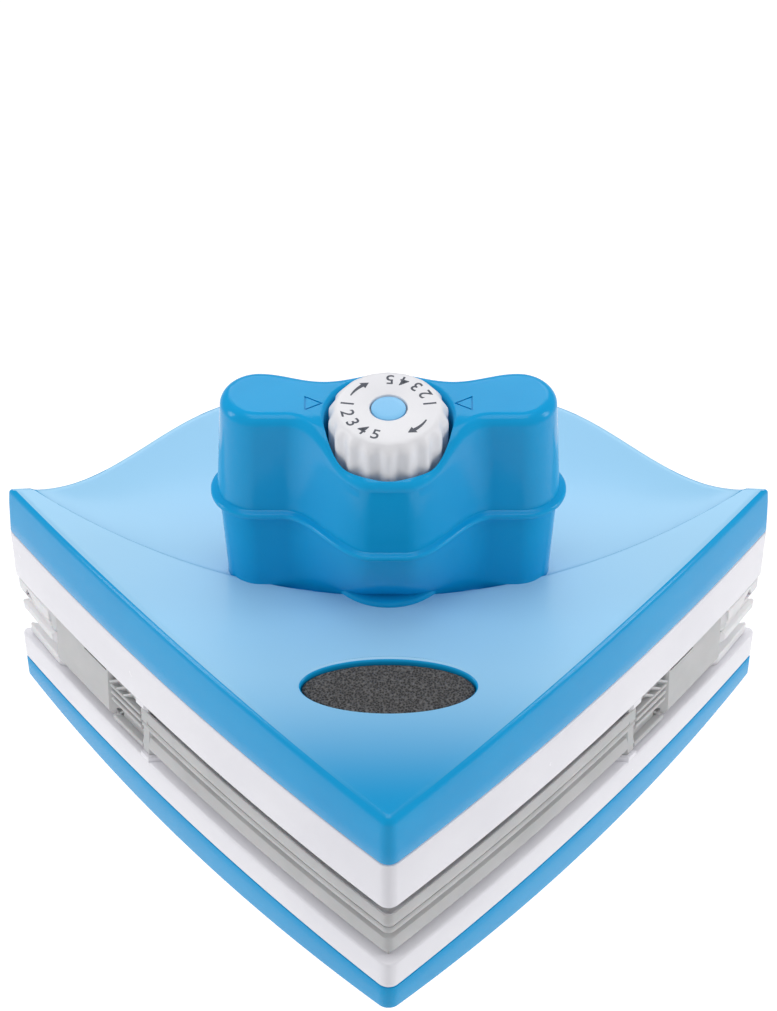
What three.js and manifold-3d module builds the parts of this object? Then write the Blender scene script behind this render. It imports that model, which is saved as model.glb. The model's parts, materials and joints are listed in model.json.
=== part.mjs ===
// Double-sided magnetic glass cleaner, millimetres, +Z up.
// Two kite-shaped units lie face to face. The inner unit is below, the outer unit with its handle above.
// The origin is on the dial's axis, in the flat face that the pair stands on; the front corner is at -Y.
import * as THREE from 'three';
import { mergeVertices } from 'three/addons/utils/BufferGeometryUtils.js';
import Module from 'manifold-3d';

const wasm = await Module();
wasm.setup();

// ---------------------------------------------------------------- driving dimensions
const WIDTH = 173.4;            // across the two side tips
const FRONT_Y = -65.65;         // front corner
const BACK_Y = 65.8;            // middle of the rear edge
const TIP_BACK_Y = 33.5;        // rear edge near the tips
const REAR_FLARE = 58.85;       // half-width of the rear bulge
const REAR_POWER = 4.8;
const SIDE_RADIUS = 731;        // the front sides bow outwards by 3 mm
const CORNER_RADIUS = 3;
const TIP_RADIUS = 1.3;
const LEAST_RADIUS = 0.4;
const GAP = 0.3;                // between pieces that touch
const WALL = 2.2;
const SKIN = 2.6;

const LOW_COVER_Z = 13;         // lowest part of the inner cover
const LOW_SEAM_Z = 23.3;
const LOW_FLANGE_Z = 31.6;
const LOW_FACE_Z = 39.4;        // rigid working face of the inner unit
const GLASS_Z = 43;             // where the two units meet
const HIGH_FACE_Z = 46.4;       // rigid working face of the outer unit
const HIGH_FLANGE_Z = 50.75;
const HIGH_SEAM_Z = 65;
const PLATE_Z = 80.3;           // highest part of the outer cover's front plate
const BEAD_Z = 101.3;
const HANDLE_TOP_Z = 129;
const KNOB_TOP_Z = 132;

const PLATEAU_INSET = 6.5;      // the raised working face stands in from the outline by this much
const PAD_INSET = 8;
const FLOOR = 2;

const CREASE_Y = -3.5;          // rear edge of the front plate on the centre line
const CREASE_CURVE = 0.0054;
const COVER_DRAFT = 0.8;        // the cover's top edge stands in from its seam by this much
const SCOOP_STEP = 1.2;
const SCOOP_DEPTH = 2.5;
const RIM_Z = 79;
const RIM_DROP = 0.8;           // the rear rim is this much lower near the tips

const SPONGE = { x: 0, y: -29.6, rx: 18.5, ry: 7.4 };

const LOBE_X = 27;              // middle of each end lobe of the handle
const LOBE_Y = 7.35;
const LOBE_RADIUS = 7.75;
const BULGE = 13.9;             // how far the handle's middle stands in front of its lobes
const BULGE_FLAT = 3.2;           // half-width of the bulge's level middle
const BULGE_RUN = 18;           // width of each slope beside it
const FOOT_BULGE = 3.9;
const BEAD_BULGE = 12.6;
const CAP_DRAFT = 1.0486;       // the cap is this much longer at its bead than at its top
const FOOT_STRETCH = 1.028;     // length of the handle's base at its foot and under the bead
const NECK_STRETCH = 1.038;
const BACK_WAVE_Y = 13.85;
const BACK_WAVE = 1.25;
const HANDLE_WALL = 2.2;
const FOOT_Z = 77;

const KNOB_RADIUS = 12.5;
const KNOB_LOW_Z = 115;
const SCALLOPS = 18;
const RECESS_RADIUS = 13.3;
const RECESS_Z = 114;
const BADGE_RADIUS = 3.6;

const SETTING_ANGLE = THREE.MathUtils.degToRad(80);
const LIFT = 8;                 // travel of the magnets between the weakest and strongest setting
const DRUM_RADIUS = 6.5;
const DRUM_LOW_Z = 50.5;
const DRUM_TOP_Z = 73.5;
const SPINDLE_RADIUS = 3;
const PIN_RADIUS = 1;
const PIN_Z = 66;
const HUB_RADIUS = 9.5;
const HUB_BORE = 6.9;

const MAGNET = { length: 20, width: 12, height: 8 };
const MAGNET_PLACES = [[-22, -6], [22, -6], [-22, 19], [22, 19]];
const POST_PLACES = [[-22, 6], [22, 6]];
const POST_RADIUS = 2.5;
const SCREW_PLACES = [[0, -46], [60, 25], [0, 50], [-60, 25]];
const HANDLE_SCREW_PLACES = [[-28, 8], [28, 8]];
const YOKE_SCREW_PLACES = [[0, -6], [0, 18]];
const SCREW = { head: 2.8, headHeight: 2.2, shank: 1.5, hole: 1.8, boss: 4.6, column: 3.4 };

// ---------------------------------------------------------------- materials
const surface = (color, roughness, metalness) => {
  return new THREE.MeshStandardMaterial({ color, roughness, metalness });
};
const plastic = (color, roughness = 0.3) => surface(color, roughness, 0);
const metal = (color, roughness = 0.35) => surface(color, roughness, 1);
const BLUE = 0x3fa6dc;
const WHITE = 0xeeedf3;
const RUBBER = 0xbdbfc1;
const FLEECE = 0xe8eaf0;
const ZINC = 0xa8acb0;
const NICKEL = 0xb8bcc0;
const PLAIN_STEEL = 0x9aa0a6;

// ---------------------------------------------------------------- solids
function solid(geometry) {
  const bare = geometry.clone();
  bare.deleteAttribute('normal');
  bare.deleteAttribute('uv');
  const merged = mergeVertices(bare, 1e-4);
  const vertProperties = new Float32Array(merged.attributes.position.array);
  const triVerts = new Uint32Array(merged.index.array);
  if (signedVolume(vertProperties, triVerts) < 0) triVerts.reverse();
  return new wasm.Manifold(new wasm.Mesh({ numProp: 3, vertProperties, triVerts }));
}

function signedVolume(points, triangles) {
  const corner = (i) => new THREE.Vector3().fromArray(points, 3 * triangles[i]);
  let sum = 0;
  for (let i = 0; i < triangles.length; i += 3) {
    sum += corner(i).dot(corner(i + 1).cross(corner(i + 2)));
  }
  return sum / 6;
}

function cylinder(radius, low, high, x = 0, y = 0, segments = 24) {
  const geometry = new THREE.CylinderGeometry(radius, radius, high - low, segments);
  geometry.rotateX(Math.PI / 2);
  geometry.translate(x, y, (low + high) / 2);
  return solid(geometry);
}

function box(x0, x1, y0, y1, z0, z1) {
  const geometry = new THREE.BoxGeometry(x1 - x0, y1 - y0, z1 - z0);
  geometry.translate((x0 + x1) / 2, (y0 + y1) / 2, (z0 + z1) / 2);
  return solid(geometry);
}

// A closed body over rings with equal numbers of points.
// A section, if given, is the flat shape of its ends.
function skin(givenRings, section = null) {
  const flatten = (ring) => section ?? ring.map((point) => new THREE.Vector2(point.x, point.y));
  const clockwise = THREE.ShapeUtils.isClockWise(flatten(givenRings[0]));
  const order = (list) => (clockwise ? [...list].reverse() : list);
  const rings = givenRings.map(order);
  const count = rings[0].length;
  const index = [];
  for (let ring = 0; ring < rings.length - 1; ring += 1) {
    for (let i = 0; i < count; i += 1) {
      const a = ring * count + i;
      const b = ring * count + ((i + 1) % count);
      index.push(a, b, b + count, a, b + count, a + count);
    }
  }
  const last = (rings.length - 1) * count;
  const ends = [givenRings[0], givenRings.at(-1)].map((ring) => order(flatten(ring)));
  THREE.ShapeUtils.triangulateShape(ends[0], []).forEach(([a, b, c]) => index.push(c, b, a));
  THREE.ShapeUtils.triangulateShape(ends[1], []).forEach(([a, b, c]) => {
    index.push(a + last, b + last, c + last);
  });
  const geometry = new THREE.BufferGeometry();
  const points = rings.flat().flatMap((point) => [point.x, point.y, point.z]);
  geometry.setAttribute('position', new THREE.Float32BufferAttribute(points, 3));
  geometry.setIndex(index);
  return solid(geometry);
}

const level = (outline, z) => outline.map((point) => new THREE.Vector3(point.x, point.y, z));
const prism = (outline, low, high) => skin([level(outline, low), level(outline, high)]);
const join = (...solids) => solids.reduce((whole, piece) => whole.add(piece));
const cut = (whole, ...tools) => tools.reduce((rest, tool) => rest.subtract(tool), whole);

function ellipse(centre, rx, ry, segments = 28) {
  const curve = new THREE.EllipseCurve(centre.x, centre.y, rx, ry, 0, 2 * Math.PI);
  return curve.getPoints(segments).slice(0, -1);
}

// Everything below height(x, y), over a grid whose rows bend with the crease.
function below(height, columns, rowsAt, low) {
  const top = columns.map((x) => rowsAt(x).map((y) => new THREE.Vector3(x, y, height(x, y))));
  const rows = top[0].length;
  const index = [];
  const points = [];
  top.flat().forEach((point) => points.push(point.x, point.y, point.z));
  top.flat().forEach((point) => points.push(point.x, point.y, low));
  const under = columns.length * rows;
  const at = (column, row) => column * rows + row;
  for (let column = 0; column < columns.length - 1; column += 1) {
    for (let row = 0; row < rows - 1; row += 1) {
      const [a, b] = [at(column, row), at(column + 1, row)];
      const [c, d] = [at(column + 1, row + 1), at(column, row + 1)];
      index.push(a, b, c, a, c, d);
      index.push(a + under, c + under, b + under, a + under, d + under, c + under);
    }
  }
  const wall = (a, b) => index.push(a, a + under, b + under, a, b + under, b);
  for (let column = 0; column < columns.length - 1; column += 1) {
    wall(at(column, 0), at(column + 1, 0));
    wall(at(column + 1, rows - 1), at(column, rows - 1));
  }
  for (let row = 0; row < rows - 1; row += 1) {
    wall(at(0, row + 1), at(0, row));
    wall(at(columns.length - 1, row), at(columns.length - 1, row + 1));
  }
  const geometry = new THREE.BufferGeometry();
  geometry.setAttribute('position', new THREE.Float32BufferAttribute(points, 3));
  // walls above run downwards, so the grid's top faces up
  geometry.setIndex(index);
  return solid(geometry);
}

// ---------------------------------------------------------------- body outline
function between(from, to, steps) {
  return Array.from({ length: steps + 1 }, (_, i) => from + ((to - from) * i) / steps);
}

function rearY(x) {
  return TIP_BACK_Y + (BACK_Y - TIP_BACK_Y) * Math.exp(-((Math.abs(x) / REAR_FLARE) ** REAR_POWER));
}

function rearNormal(x) {
  const step = 0.01;
  const slope = (rearY(x + step) - rearY(x - step)) / (2 * step);
  return new THREE.Vector2(-slope, 1).normalize();
}

// Centre of the large circle that the right-hand front side lies on, touching the corner and tip circles.
function sideCentre() {
  const corner = new THREE.Vector2(0, FRONT_Y + CORNER_RADIUS);
  const tip = new THREE.Vector2(WIDTH / 2 - TIP_RADIUS, rearY(WIDTH / 2 - TIP_RADIUS) - TIP_RADIUS);
  const a = SIDE_RADIUS - CORNER_RADIUS;
  const b = SIDE_RADIUS - TIP_RADIUS;
  const span = corner.distanceTo(tip);
  const along = (a * a - b * b + span * span) / (2 * span);
  const aside = Math.sqrt(a * a - along * along);
  const direction = tip.clone().sub(corner).normalize();
  const inward = new THREE.Vector2(-direction.y, direction.x);
  return corner.clone().addScaledVector(direction, along).addScaledVector(inward, aside);
}
const SIDE_CENTRE = sideCentre();

// The corner and tip circles of the outline moved in by inset.
function cornerCircle(inset) {
  const radius = Math.max(CORNER_RADIUS - inset, LEAST_RADIUS);
  const reach = SIDE_RADIUS - inset - radius;
  const y = SIDE_CENTRE.y - Math.sqrt(reach * reach - SIDE_CENTRE.x * SIDE_CENTRE.x);
  return { centre: new THREE.Vector2(0, y), radius };
}

function tipCircle(inset) {
  const radius = Math.max(TIP_RADIUS - inset, LEAST_RADIUS);
  const centreAt = (x) => new THREE.Vector2(x, rearY(x)).addScaledVector(rearNormal(x), -inset - radius);
  let near = 20;
  let far = WIDTH / 2;
  for (let i = 0; i < 40; i += 1) {
    const middle = (near + far) / 2;
    if (centreAt(middle).distanceTo(SIDE_CENTRE) < SIDE_RADIUS - inset - radius) near = middle;
    else far = middle;
  }
  return { centre: centreAt(near), radius, x: near };
}

function arc(centre, radius, from, to, steps) {
  const spoke = (angle) => new THREE.Vector2(radius * Math.cos(angle), radius * Math.sin(angle));
  return between(from, to, steps).map((angle) => spoke(angle).add(centre));
}

// Right half of the outline from the front corner to the middle of the rear edge.
function halfOutline(inset, steps) {
  const corner = cornerCircle(inset);
  const tip = tipCircle(inset);
  const start = corner.centre.clone().sub(SIDE_CENTRE).angle() - 2 * Math.PI;
  const end = tip.centre.clone().sub(SIDE_CENTRE).angle() - 2 * Math.PI;
  const normal = rearNormal(tip.x).angle();
  const turns = between(0, Math.PI / 2, steps.rear).slice(1);
  const rear = turns.map((turn) => tip.x * Math.cos(turn));
  return [
    ...arc(corner.centre, corner.radius, -Math.PI / 2, start, steps.corner),
    ...arc(SIDE_CENTRE, SIDE_RADIUS - inset, start, end, steps.side).slice(1, -1),
    ...arc(tip.centre, tip.radius, end, normal, steps.tip),
    ...rear.map((x) => new THREE.Vector2(x, rearY(x)).addScaledVector(rearNormal(x), -inset)),
  ];
}

function bodyOutline(inset) {
  const right = halfOutline(inset, { corner: 2, side: 6, tip: 4, rear: 10 });
  const left = right.slice(1, -1).reverse().map((point) => new THREE.Vector2(-point.x, point.y));
  return [...right, ...left];
}

// A point on the outline's front: run is -1 at the left tip, 0 at the corner and 1 at the right tip.
function edgePoint(inset, run) {
  const side = Math.sign(run) || 1;
  const corner = cornerCircle(inset);
  const tip = tipCircle(inset);
  const start = corner.centre.clone().sub(SIDE_CENTRE).angle() - 2 * Math.PI;
  const end = tip.centre.clone().sub(SIDE_CENTRE).angle() - 2 * Math.PI;
  const bend = 0.02;
  const beyond = Math.abs(run) - 1;
  let point = null;
  if (Math.abs(run) < bend) {
    const angle = THREE.MathUtils.lerp(-Math.PI / 2, start, Math.abs(run) / bend);
    [point] = arc(corner.centre, corner.radius, angle, angle, 1);
  } else if (beyond > 0) {
    const angle = end + (rearNormal(tip.x).angle() - end) * Math.min(beyond / bend, 1);
    [point] = arc(tip.centre, tip.radius, angle, angle, 1);
  } else {
    const angle = THREE.MathUtils.lerp(start, end, (Math.abs(run) - bend) / (1 - bend));
    [point] = arc(SIDE_CENTRE, SIDE_RADIUS - inset, angle, angle, 1);
  }
  return new THREE.Vector2(point.x * side, point.y);
}

// A strip along the front edge; profile is a list of [inset, z], and climb(run) raises it.
function strip(profile, runs, climb = () => 0) {
  const rings = runs.map((run) => profile.map(([inset, z]) => {
    const point = edgePoint(inset, run);
    return new THREE.Vector3(point.x, point.y, z + climb(run));
  }));
  return skin(rings, profile.map(([inset, z]) => new THREE.Vector2(inset, z)));
}

// ---------------------------------------------------------------- surfaces of the two covers
const creaseY = (x) => CREASE_Y + CREASE_CURVE * x * x;
const plateZ = (y) => PLATE_Z - 0.000775 * (y + 12) ** 2;
const undersideZ = (y) => LOW_COVER_Z + Math.min(0.00127 * (y + 20.5) ** 2, 3.5);

function scoopZ(x, y) {
  const crease = creaseY(x);
  const length = Math.max(rearY(x) - crease, 1);
  const along = THREE.MathUtils.clamp((y - crease) / length, 0, 1);
  const start = plateZ(crease) - SCOOP_STEP * Math.min(length / 12, 1);
  const rim = RIM_Z - RIM_DROP * THREE.MathUtils.smoothstep(Math.abs(x), 60, 78);
  const hollow = SCOOP_DEPTH * Math.min(length / 55, 1) * Math.sin(Math.PI * along);
  return THREE.MathUtils.lerp(start, rim, along) - hollow;
}

const coverZ = (x, y) => (y <= creaseY(x) + 1e-6 ? plateZ(y) : scoopZ(x, y));
const GRID_COLUMNS = between(-90, 90, 14);

function coverRows(x) {
  const crease = Math.min(creaseY(x), 40);
  const front = between(-70, crease, 3);
  const rear = between(crease + 0.6, 80, 5);
  return [...front, ...rear];
}

const belowCover = (drop) => below((x, y) => coverZ(x, y) - drop, GRID_COLUMNS, coverRows, 40);
const flatRows = () => between(-70, 80, 12);
const underside = (rise) => below((x, y) => undersideZ(y) + rise, [-90, 90], flatRows, -5);

// ---------------------------------------------------------------- handle outline
// grow moves the outline out, bulge is how far its middle stands in front of the lobes, and stretch
// lengthens it along X.
function handleOutline(grow, bulge = BULGE, stretch = 1) {
  const lobeFront = LOBE_Y - LOBE_RADIUS;
  const slope = (x) => THREE.MathUtils.clamp((Math.abs(x) - BULGE_FLAT) / BULGE_RUN, 0, 1);
  const frontY = (x) => lobeFront - (bulge * (1 + Math.cos(Math.PI * slope(x)))) / 2;
  const backY = (x) => BACK_WAVE_Y + BACK_WAVE * Math.cos((2 * Math.PI * x) / LOBE_X);
  const moved = (x, curve, away) => {
    const rise = (curve(x + 0.01) - curve(x - 0.01)) / 0.02;
    const normal = new THREE.Vector2(-rise * away, away).normalize();
    return new THREE.Vector2(x, curve(x)).addScaledVector(normal, grow);
  };
  const front = between(-LOBE_X, LOBE_X, 16).map((x) => moved(x, frontY, -1));
  const back = between(LOBE_X, -LOBE_X, 10).map((x) => moved(x, backY, 1));
  const right = arc(new THREE.Vector2(LOBE_X, LOBE_Y), LOBE_RADIUS + grow, -Math.PI / 2, Math.PI / 2, 6);
  const left = arc(new THREE.Vector2(-LOBE_X, LOBE_Y), LOBE_RADIUS + grow, Math.PI / 2, 1.5 * Math.PI, 6);
  const points = [...front, ...right.slice(1, -1), ...back, ...left.slice(1, -1)];
  return points.map((point) => new THREE.Vector2(point.x * stretch, point.y));
}

// The handle's top dips at the front of its middle, to show the dial's side.
function handleTopZ(x, y) {
  const across = THREE.MathUtils.smoothstep(19 - Math.abs(x), 0, 11);
  const forward = THREE.MathUtils.smoothstep(1 - y, 0, 11);
  return HANDLE_TOP_Z - 5 * across * forward;
}

// ---------------------------------------------------------------- outer unit
function screwBosses(places, low, high, radius) {
  return places.map(([x, y]) => cylinder(radius, low, high, x, y, 12));
}

function outerCover() {
  const drafted = (inset, low) => skin([
    level(bodyOutline(inset), low), level(bodyOutline(inset + COVER_DRAFT), PLATE_Z),
  ]);
  const shell = drafted(0, HIGH_SEAM_Z + GAP / 2).intersect(belowCover(0));
  const hollow = drafted(WALL, HIGH_SEAM_Z - 1).intersect(belowCover(SKIN));
  const seat = prism(handleOutline(3, FOOT_BULGE), 74.2, FOOT_Z + 1).intersect(belowCover(0.4));
  const columns = screwBosses(SCREW_PLACES, 55, PLATE_Z, SCREW.column).map((c) => c.intersect(belowCover(1)));
  const pocket = prism(handleOutline(GAP - 0.5, FOOT_BULGE, FOOT_STRETCH), FOOT_Z - GAP, PLATE_Z + 5);
  const footCut = prism(footOutline(GAP), FOOT_Z - GAP, PLATE_Z + 5);
  const pilots = screwBosses(SCREW_PLACES, 50, 64, SCREW.hole);
  const handleHoles = screwBosses(HANDLE_SCREW_PLACES, 70, 90, SCREW.hole);
  const spongeHole = prism(ellipse(SPONGE, SPONGE.rx, SPONGE.ry), 60, 90);
  const spindleHole = cylinder(SPINDLE_RADIUS + 0.4, 60, 90, 0, 0, 24);
  const body = join(cut(shell, hollow), seat, ...columns);
  return cut(body, pocket, footCut, spongeHole, spindleHole, ...pilots, ...handleHoles);
}

// Round nose at the handle's foot, in front of the crease, around the spindle's bearing.
function footOutline(grow) {
  return ellipse({ x: 0, y: 6.7 }, 13.8 + grow, 13.8 + grow, 32);
}

// The base rises straight out of its pocket, then its front sweeps out to the cap's wavy outline.
function handleBaseRing(z, grow) {
  const rise = THREE.MathUtils.clamp((z - PLATE_Z - 0.4) / (BEAD_Z - PLATE_Z - 0.4), 0, 1);
  const bulge = THREE.MathUtils.lerp(FOOT_BULGE, BEAD_BULGE - 0.2, rise * (2 - rise) * 0.6 + rise * 0.4);
  const stretch = THREE.MathUtils.lerp(FOOT_STRETCH, NECK_STRETCH, rise);
  return level(handleOutline(0.6 * rise - 0.5 + grow, bulge, stretch), z);
}

function handleBase() {
  const heights = [PLATE_Z + 0.4, 84, 88, 94, BEAD_Z - GAP];
  const layers = (grow, low, high) => skin([
    handleBaseRing(PLATE_Z, grow).map((point) => point.clone().setZ(low)),
    ...heights.map((z) => handleBaseRing(z, grow)),
    ...(high > BEAD_Z ? [handleBaseRing(BEAD_Z, grow).map((point) => point.clone().setZ(high))] : []),
  ]);
  const wall = layers(0, FOOT_Z, BEAD_Z - GAP);
  const inner = layers(-HANDLE_WALL, FOOT_Z + FLOOR, BEAD_Z + 2);
  const nose = prism(footOutline(0), FOOT_Z, PLATE_Z + 1.1).intersect(box(-20, 20, -12, 4, FOOT_Z - 1, 90));
  const columns = screwBosses(HANDLE_SCREW_PLACES, FOOT_Z, 92, SCREW.column);
  const tower = cylinder(5.6, FOOT_Z, 98, 0, 1.4, 20);
  const posts = join(tower, ...columns).intersect(layers(-0.5, FOOT_Z, BEAD_Z - GAP));
  const bore = cylinder(SPINDLE_RADIUS + 0.4, FOOT_Z - 1, BEAD_Z + 2, 0, 0, 20);
  const pilots = screwBosses(HANDLE_SCREW_PLACES, FOOT_Z - 1, 89, SCREW.hole);
  return cut(join(cut(wall, inner), posts, nose), bore, ...pilots);
}

function handleCap() {
  const straight = HANDLE_TOP_Z - 2.4;
  const ring = (z, grow) => {
    const rise = (z - BEAD_Z) / (HANDLE_TOP_Z - BEAD_Z);
    const bulge = THREE.MathUtils.lerp(BEAD_BULGE, BULGE, rise);
    return level(handleOutline(grow, bulge, THREE.MathUtils.lerp(CAP_DRAFT, 1, rise)), z);
  };
  const outer = skin([
    ring(BEAD_Z, 0.7), ring(BEAD_Z + 0.6, 1.2), ring(BEAD_Z + 1.5, 1.2), ring(BEAD_Z + 2.2, 0.2),
    ring(straight, 0.2), ring(straight + 1.6, -0.5), ring(HANDLE_TOP_Z, -1.9),
  ]);
  const columns = between(-40, 40, 14);
  const dip = (drop) => below((x, y) => handleTopZ(x, y) - drop, columns, () => between(-20, 24, 8), 95);
  const inside = skin([ring(BEAD_Z - 1, -HANDLE_WALL), ring(straight, -HANDLE_WALL)]).intersect(dip(2.4));
  const cup = cylinder(RECESS_RADIUS + 1.8, RECESS_Z - FLOOR, HANDLE_TOP_Z + 1, 0, 0, 36);
  const recess = cylinder(RECESS_RADIUS, RECESS_Z, HANDLE_TOP_Z + 2, 0, 0, 40);
  const bearing = cylinder(SPINDLE_RADIUS + 0.4, RECESS_Z - 5, RECESS_Z + 1, 0, 0, 20);
  const shell = cut(outer.intersect(dip(0)), cut(inside, cup));
  const clips = [[12.2, 14.8], [-14.8, -12.2]].map(([x0, x1]) => box(x0, x1, 7.9, 12, 104, 109.2));
  const clipSlot = box(-14.3, 14.3, 8.9, 10, 104.6, 110);
  return cut(join(shell, ...clips.map((clip) => cut(clip, clipSlot))), recess, bearing);
}

function outerBase() {
  const wall = prism(bodyOutline(0), HIGH_FLANGE_Z, HIGH_SEAM_Z - GAP / 2);
  const plateau = prism(bodyOutline(PLATEAU_INSET), HIGH_FACE_Z, HIGH_FLANGE_Z + 1);
  const space = prism(bodyOutline(WALL), HIGH_FLANGE_Z + FLOOR, HIGH_SEAM_Z + 1);
  const floorSpace = prism(bodyOutline(PLATEAU_INSET + WALL), HIGH_FACE_Z + FLOOR, HIGH_FLANGE_Z + 3);
  const tray = cut(join(wall, plateau), space, floorSpace);
  const bosses = screwBosses(SCREW_PLACES, HIGH_FACE_Z, 54.7, SCREW.boss);
  const posts = POST_PLACES.map(([x, y]) => cylinder(POST_RADIUS, HIGH_FACE_Z + 1, 71.2, x, y, 16));
  const pivot = cylinder(2.6, HIGH_FACE_Z + 1, 56, 0, 0, 24);
  const well = prism(ellipse(SPONGE, SPONGE.rx + 1.6, SPONGE.ry + 1.6), HIGH_FACE_Z, 76.9);
  const wellHole = prism(ellipse(SPONGE, SPONGE.rx, SPONGE.ry), HIGH_FACE_Z - 1, 80);
  const heads = screwBosses(SCREW_PLACES, HIGH_FACE_Z - 1, HIGH_FACE_Z + 3, SCREW.head + GAP);
  const holes = screwBosses(SCREW_PLACES, HIGH_FACE_Z, 60, SCREW.hole);
  const teeth = [-1, 1].map((side) => shellTooth(side, HIGH_FLANGE_Z, -1));
  return cut(join(tray, ...bosses, ...posts, pivot, well, ...teeth), wellHole, ...heads, ...holes);
}

// A screw whose head lies at z = seat and whose shank points up (way 1) or down (way -1).
function screw(x, y, seat, length, way) {
  const head = cylinder(SCREW.head, 0, SCREW.headHeight, 0, 0, 12);
  const shank = cylinder(SCREW.shank, SCREW.headHeight - 0.1, length, 0, 0, 8);
  const slot = [box(-1.8, 1.8, -0.35, 0.35, -1, 1), box(-0.35, 0.35, -1.8, 1.8, -1, 1)];
  const whole = cut(join(head, shank), ...slot);
  const turned = way > 0 ? whole : whole.rotate([180, 0, 0]);
  return turned.translate([x, y, seat]);
}

function waterSponge() {
  return prism(ellipse(SPONGE, SPONGE.rx - GAP, SPONGE.ry - GAP), HIGH_FACE_Z + 0.2, 79.3);
}

// ---------------------------------------------------------------- dial
function scalloped(radius, depth, z) {
  const points = Array.from({ length: SCALLOPS * 4 }, (_, i) => {
    const angle = (2 * Math.PI * i) / (SCALLOPS * 4);
    const reach = radius - (depth * (1 - Math.cos(SCALLOPS * (angle - Math.PI / 2)))) / 2;
    return new THREE.Vector3(reach * Math.cos(angle), reach * Math.sin(angle), z);
  });
  return points;
}

function knob() {
  const body = skin([
    scalloped(KNOB_RADIUS - 0.3, 0.6, KNOB_LOW_Z),
    scalloped(KNOB_RADIUS, 0.7, KNOB_LOW_Z + 1),
    scalloped(KNOB_RADIUS, 0.7, KNOB_TOP_Z - 2.1),
    scalloped(KNOB_RADIUS - 0.9, 0.1, KNOB_TOP_Z - 0.5),
    scalloped(KNOB_RADIUS - 1.6, 0, KNOB_TOP_Z),
  ]);
  const ring = cut(cylinder(10.2, KNOB_LOW_Z - 1, 125, 0, 0, 36), cylinder(6, KNOB_LOW_Z - 2, 126, 0, 0, 24));
  const socket = box(-2.5, 2.5, -2.5, 2.5, KNOB_LOW_Z - 1, 124.3);
  const screwHole = cylinder(SCREW.hole, 120, 127, 0, 0, 16);
  const headHole = cylinder(SCREW.head + GAP, 126.3, 130, 0, 0, 24);
  const badgePocket = cylinder(BADGE_RADIUS + GAP, 129.6, KNOB_TOP_Z + 1, 0, 0, 36);
  return cut(body, ring, socket, screwHole, headHole, badgePocket);
}

// The groove that a follower pin runs in: it falls by LIFT while the dial turns through its settings.
function helicalGroove(phase) {
  const pitch = LIFT / SETTING_ANGLE;
  const run = THREE.MathUtils.degToRad(14);
  const half = 1.95;
  const rings = between(-run, SETTING_ANGLE + run, 10).map((turn) => {
    const z = PIN_Z - pitch * turn;
    const at = (radius, height) => new THREE.Vector3(
      radius * Math.cos(phase + turn), radius * Math.sin(phase + turn), z + height,
    );
    return [at(4.9, -half), at(4.9, half), at(8, half), at(8, -half)];
  });
  const section = [[0, 0], [0, 1], [1, 1], [1, 0]].map(([x, y]) => new THREE.Vector2(x, y));
  return skin(rings, section);
}

function camSpindle() {
  const drum = cylinder(DRUM_RADIUS, DRUM_LOW_Z, DRUM_TOP_Z, 0, 0, 28);
  const shaft = cylinder(SPINDLE_RADIUS, DRUM_TOP_Z - 1, KNOB_LOW_Z - 2, 0, 0, 24);
  const square = box(-2.2, 2.2, -2.2, 2.2, KNOB_LOW_Z - 3, 124);
  const detent = skin([detentRing(104.5), detentRing(108.5)]);
  const pivotBore = cylinder(2.9, DRUM_LOW_Z - 1, 57, 0, 0, 24);
  const screwBore = cylinder(SCREW.hole, 112, 126, 0, 0, 16);
  const grooves = [helicalGroove(0), helicalGroove(Math.PI)];
  return cut(join(drum, shaft, square, detent), pivotBore, screwBore, ...grooves);
}

function detentRing(z) {
  return Array.from({ length: SCALLOPS * 2 }, (_, i) => {
    const angle = (Math.PI * i) / SCALLOPS;
    const reach = 6.2 + 0.4 * Math.cos(SCALLOPS * (angle + Math.PI / 2) + Math.PI);
    return new THREE.Vector3(reach * Math.cos(angle), reach * Math.sin(angle), z);
  });
}

// Bent strip of spring steel whose nose faces the notches of the detent ring from behind.
function detentSpring() {
  const thickness = 0.5;
  const points = [[-14, 9.2], [-9, 9.2], [-2.4, 8.2], [0, 7], [2.4, 8.2], [9, 9.2], [14, 9.2]];
  const shape = new THREE.Shape();
  points.forEach(([x, y], i) => (i ? shape.lineTo(x, y) : shape.moveTo(x, y)));
  [...points].reverse().forEach(([x, y]) => shape.lineTo(x, y + thickness));
  const geometry = new THREE.ExtrudeGeometry(shape, { depth: 3.2, bevelEnabled: false });
  geometry.translate(0, 0, 105);
  return solid(geometry);
}

// ---------------------------------------------------------------- magnet carrier
const CARRIER = { x: 34.5, y0: -14, y1: 27, low: 58, plate: 67.1, top: 69.6, wall: 1.5 };

function magnetCarrier() {
  const block = box(-CARRIER.x, CARRIER.x, CARRIER.y0, CARRIER.y1, CARRIER.low, CARRIER.top);
  const inner = CARRIER.x - CARRIER.wall;
  const [front, back] = [CARRIER.y0 + CARRIER.wall, CARRIER.y1 - CARRIER.wall];
  const space = box(-inner, inner, front, back, CARRIER.low - 1, CARRIER.plate);
  const hub = cylinder(HUB_RADIUS, 60, 72, 0, 0, 28);
  const bore = cylinder(HUB_BORE, 50, 80, 0, 0, 28);
  const posts = POST_PLACES.map(([x, y]) => cylinder(POST_RADIUS + GAP, 50, 80, x, y, 16));
  return cut(join(cut(block, space), hub), bore, followerPin(-1, GAP), followerPin(1, GAP), ...posts);
}

function followerPin(side, grow = 0) {
  const geometry = new THREE.CylinderGeometry(PIN_RADIUS + grow, PIN_RADIUS + grow, 4 + 2 * grow, 12);
  geometry.rotateZ(Math.PI / 2);
  geometry.translate(side * 7.25, 0, PIN_Z);
  return solid(geometry);
}

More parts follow.
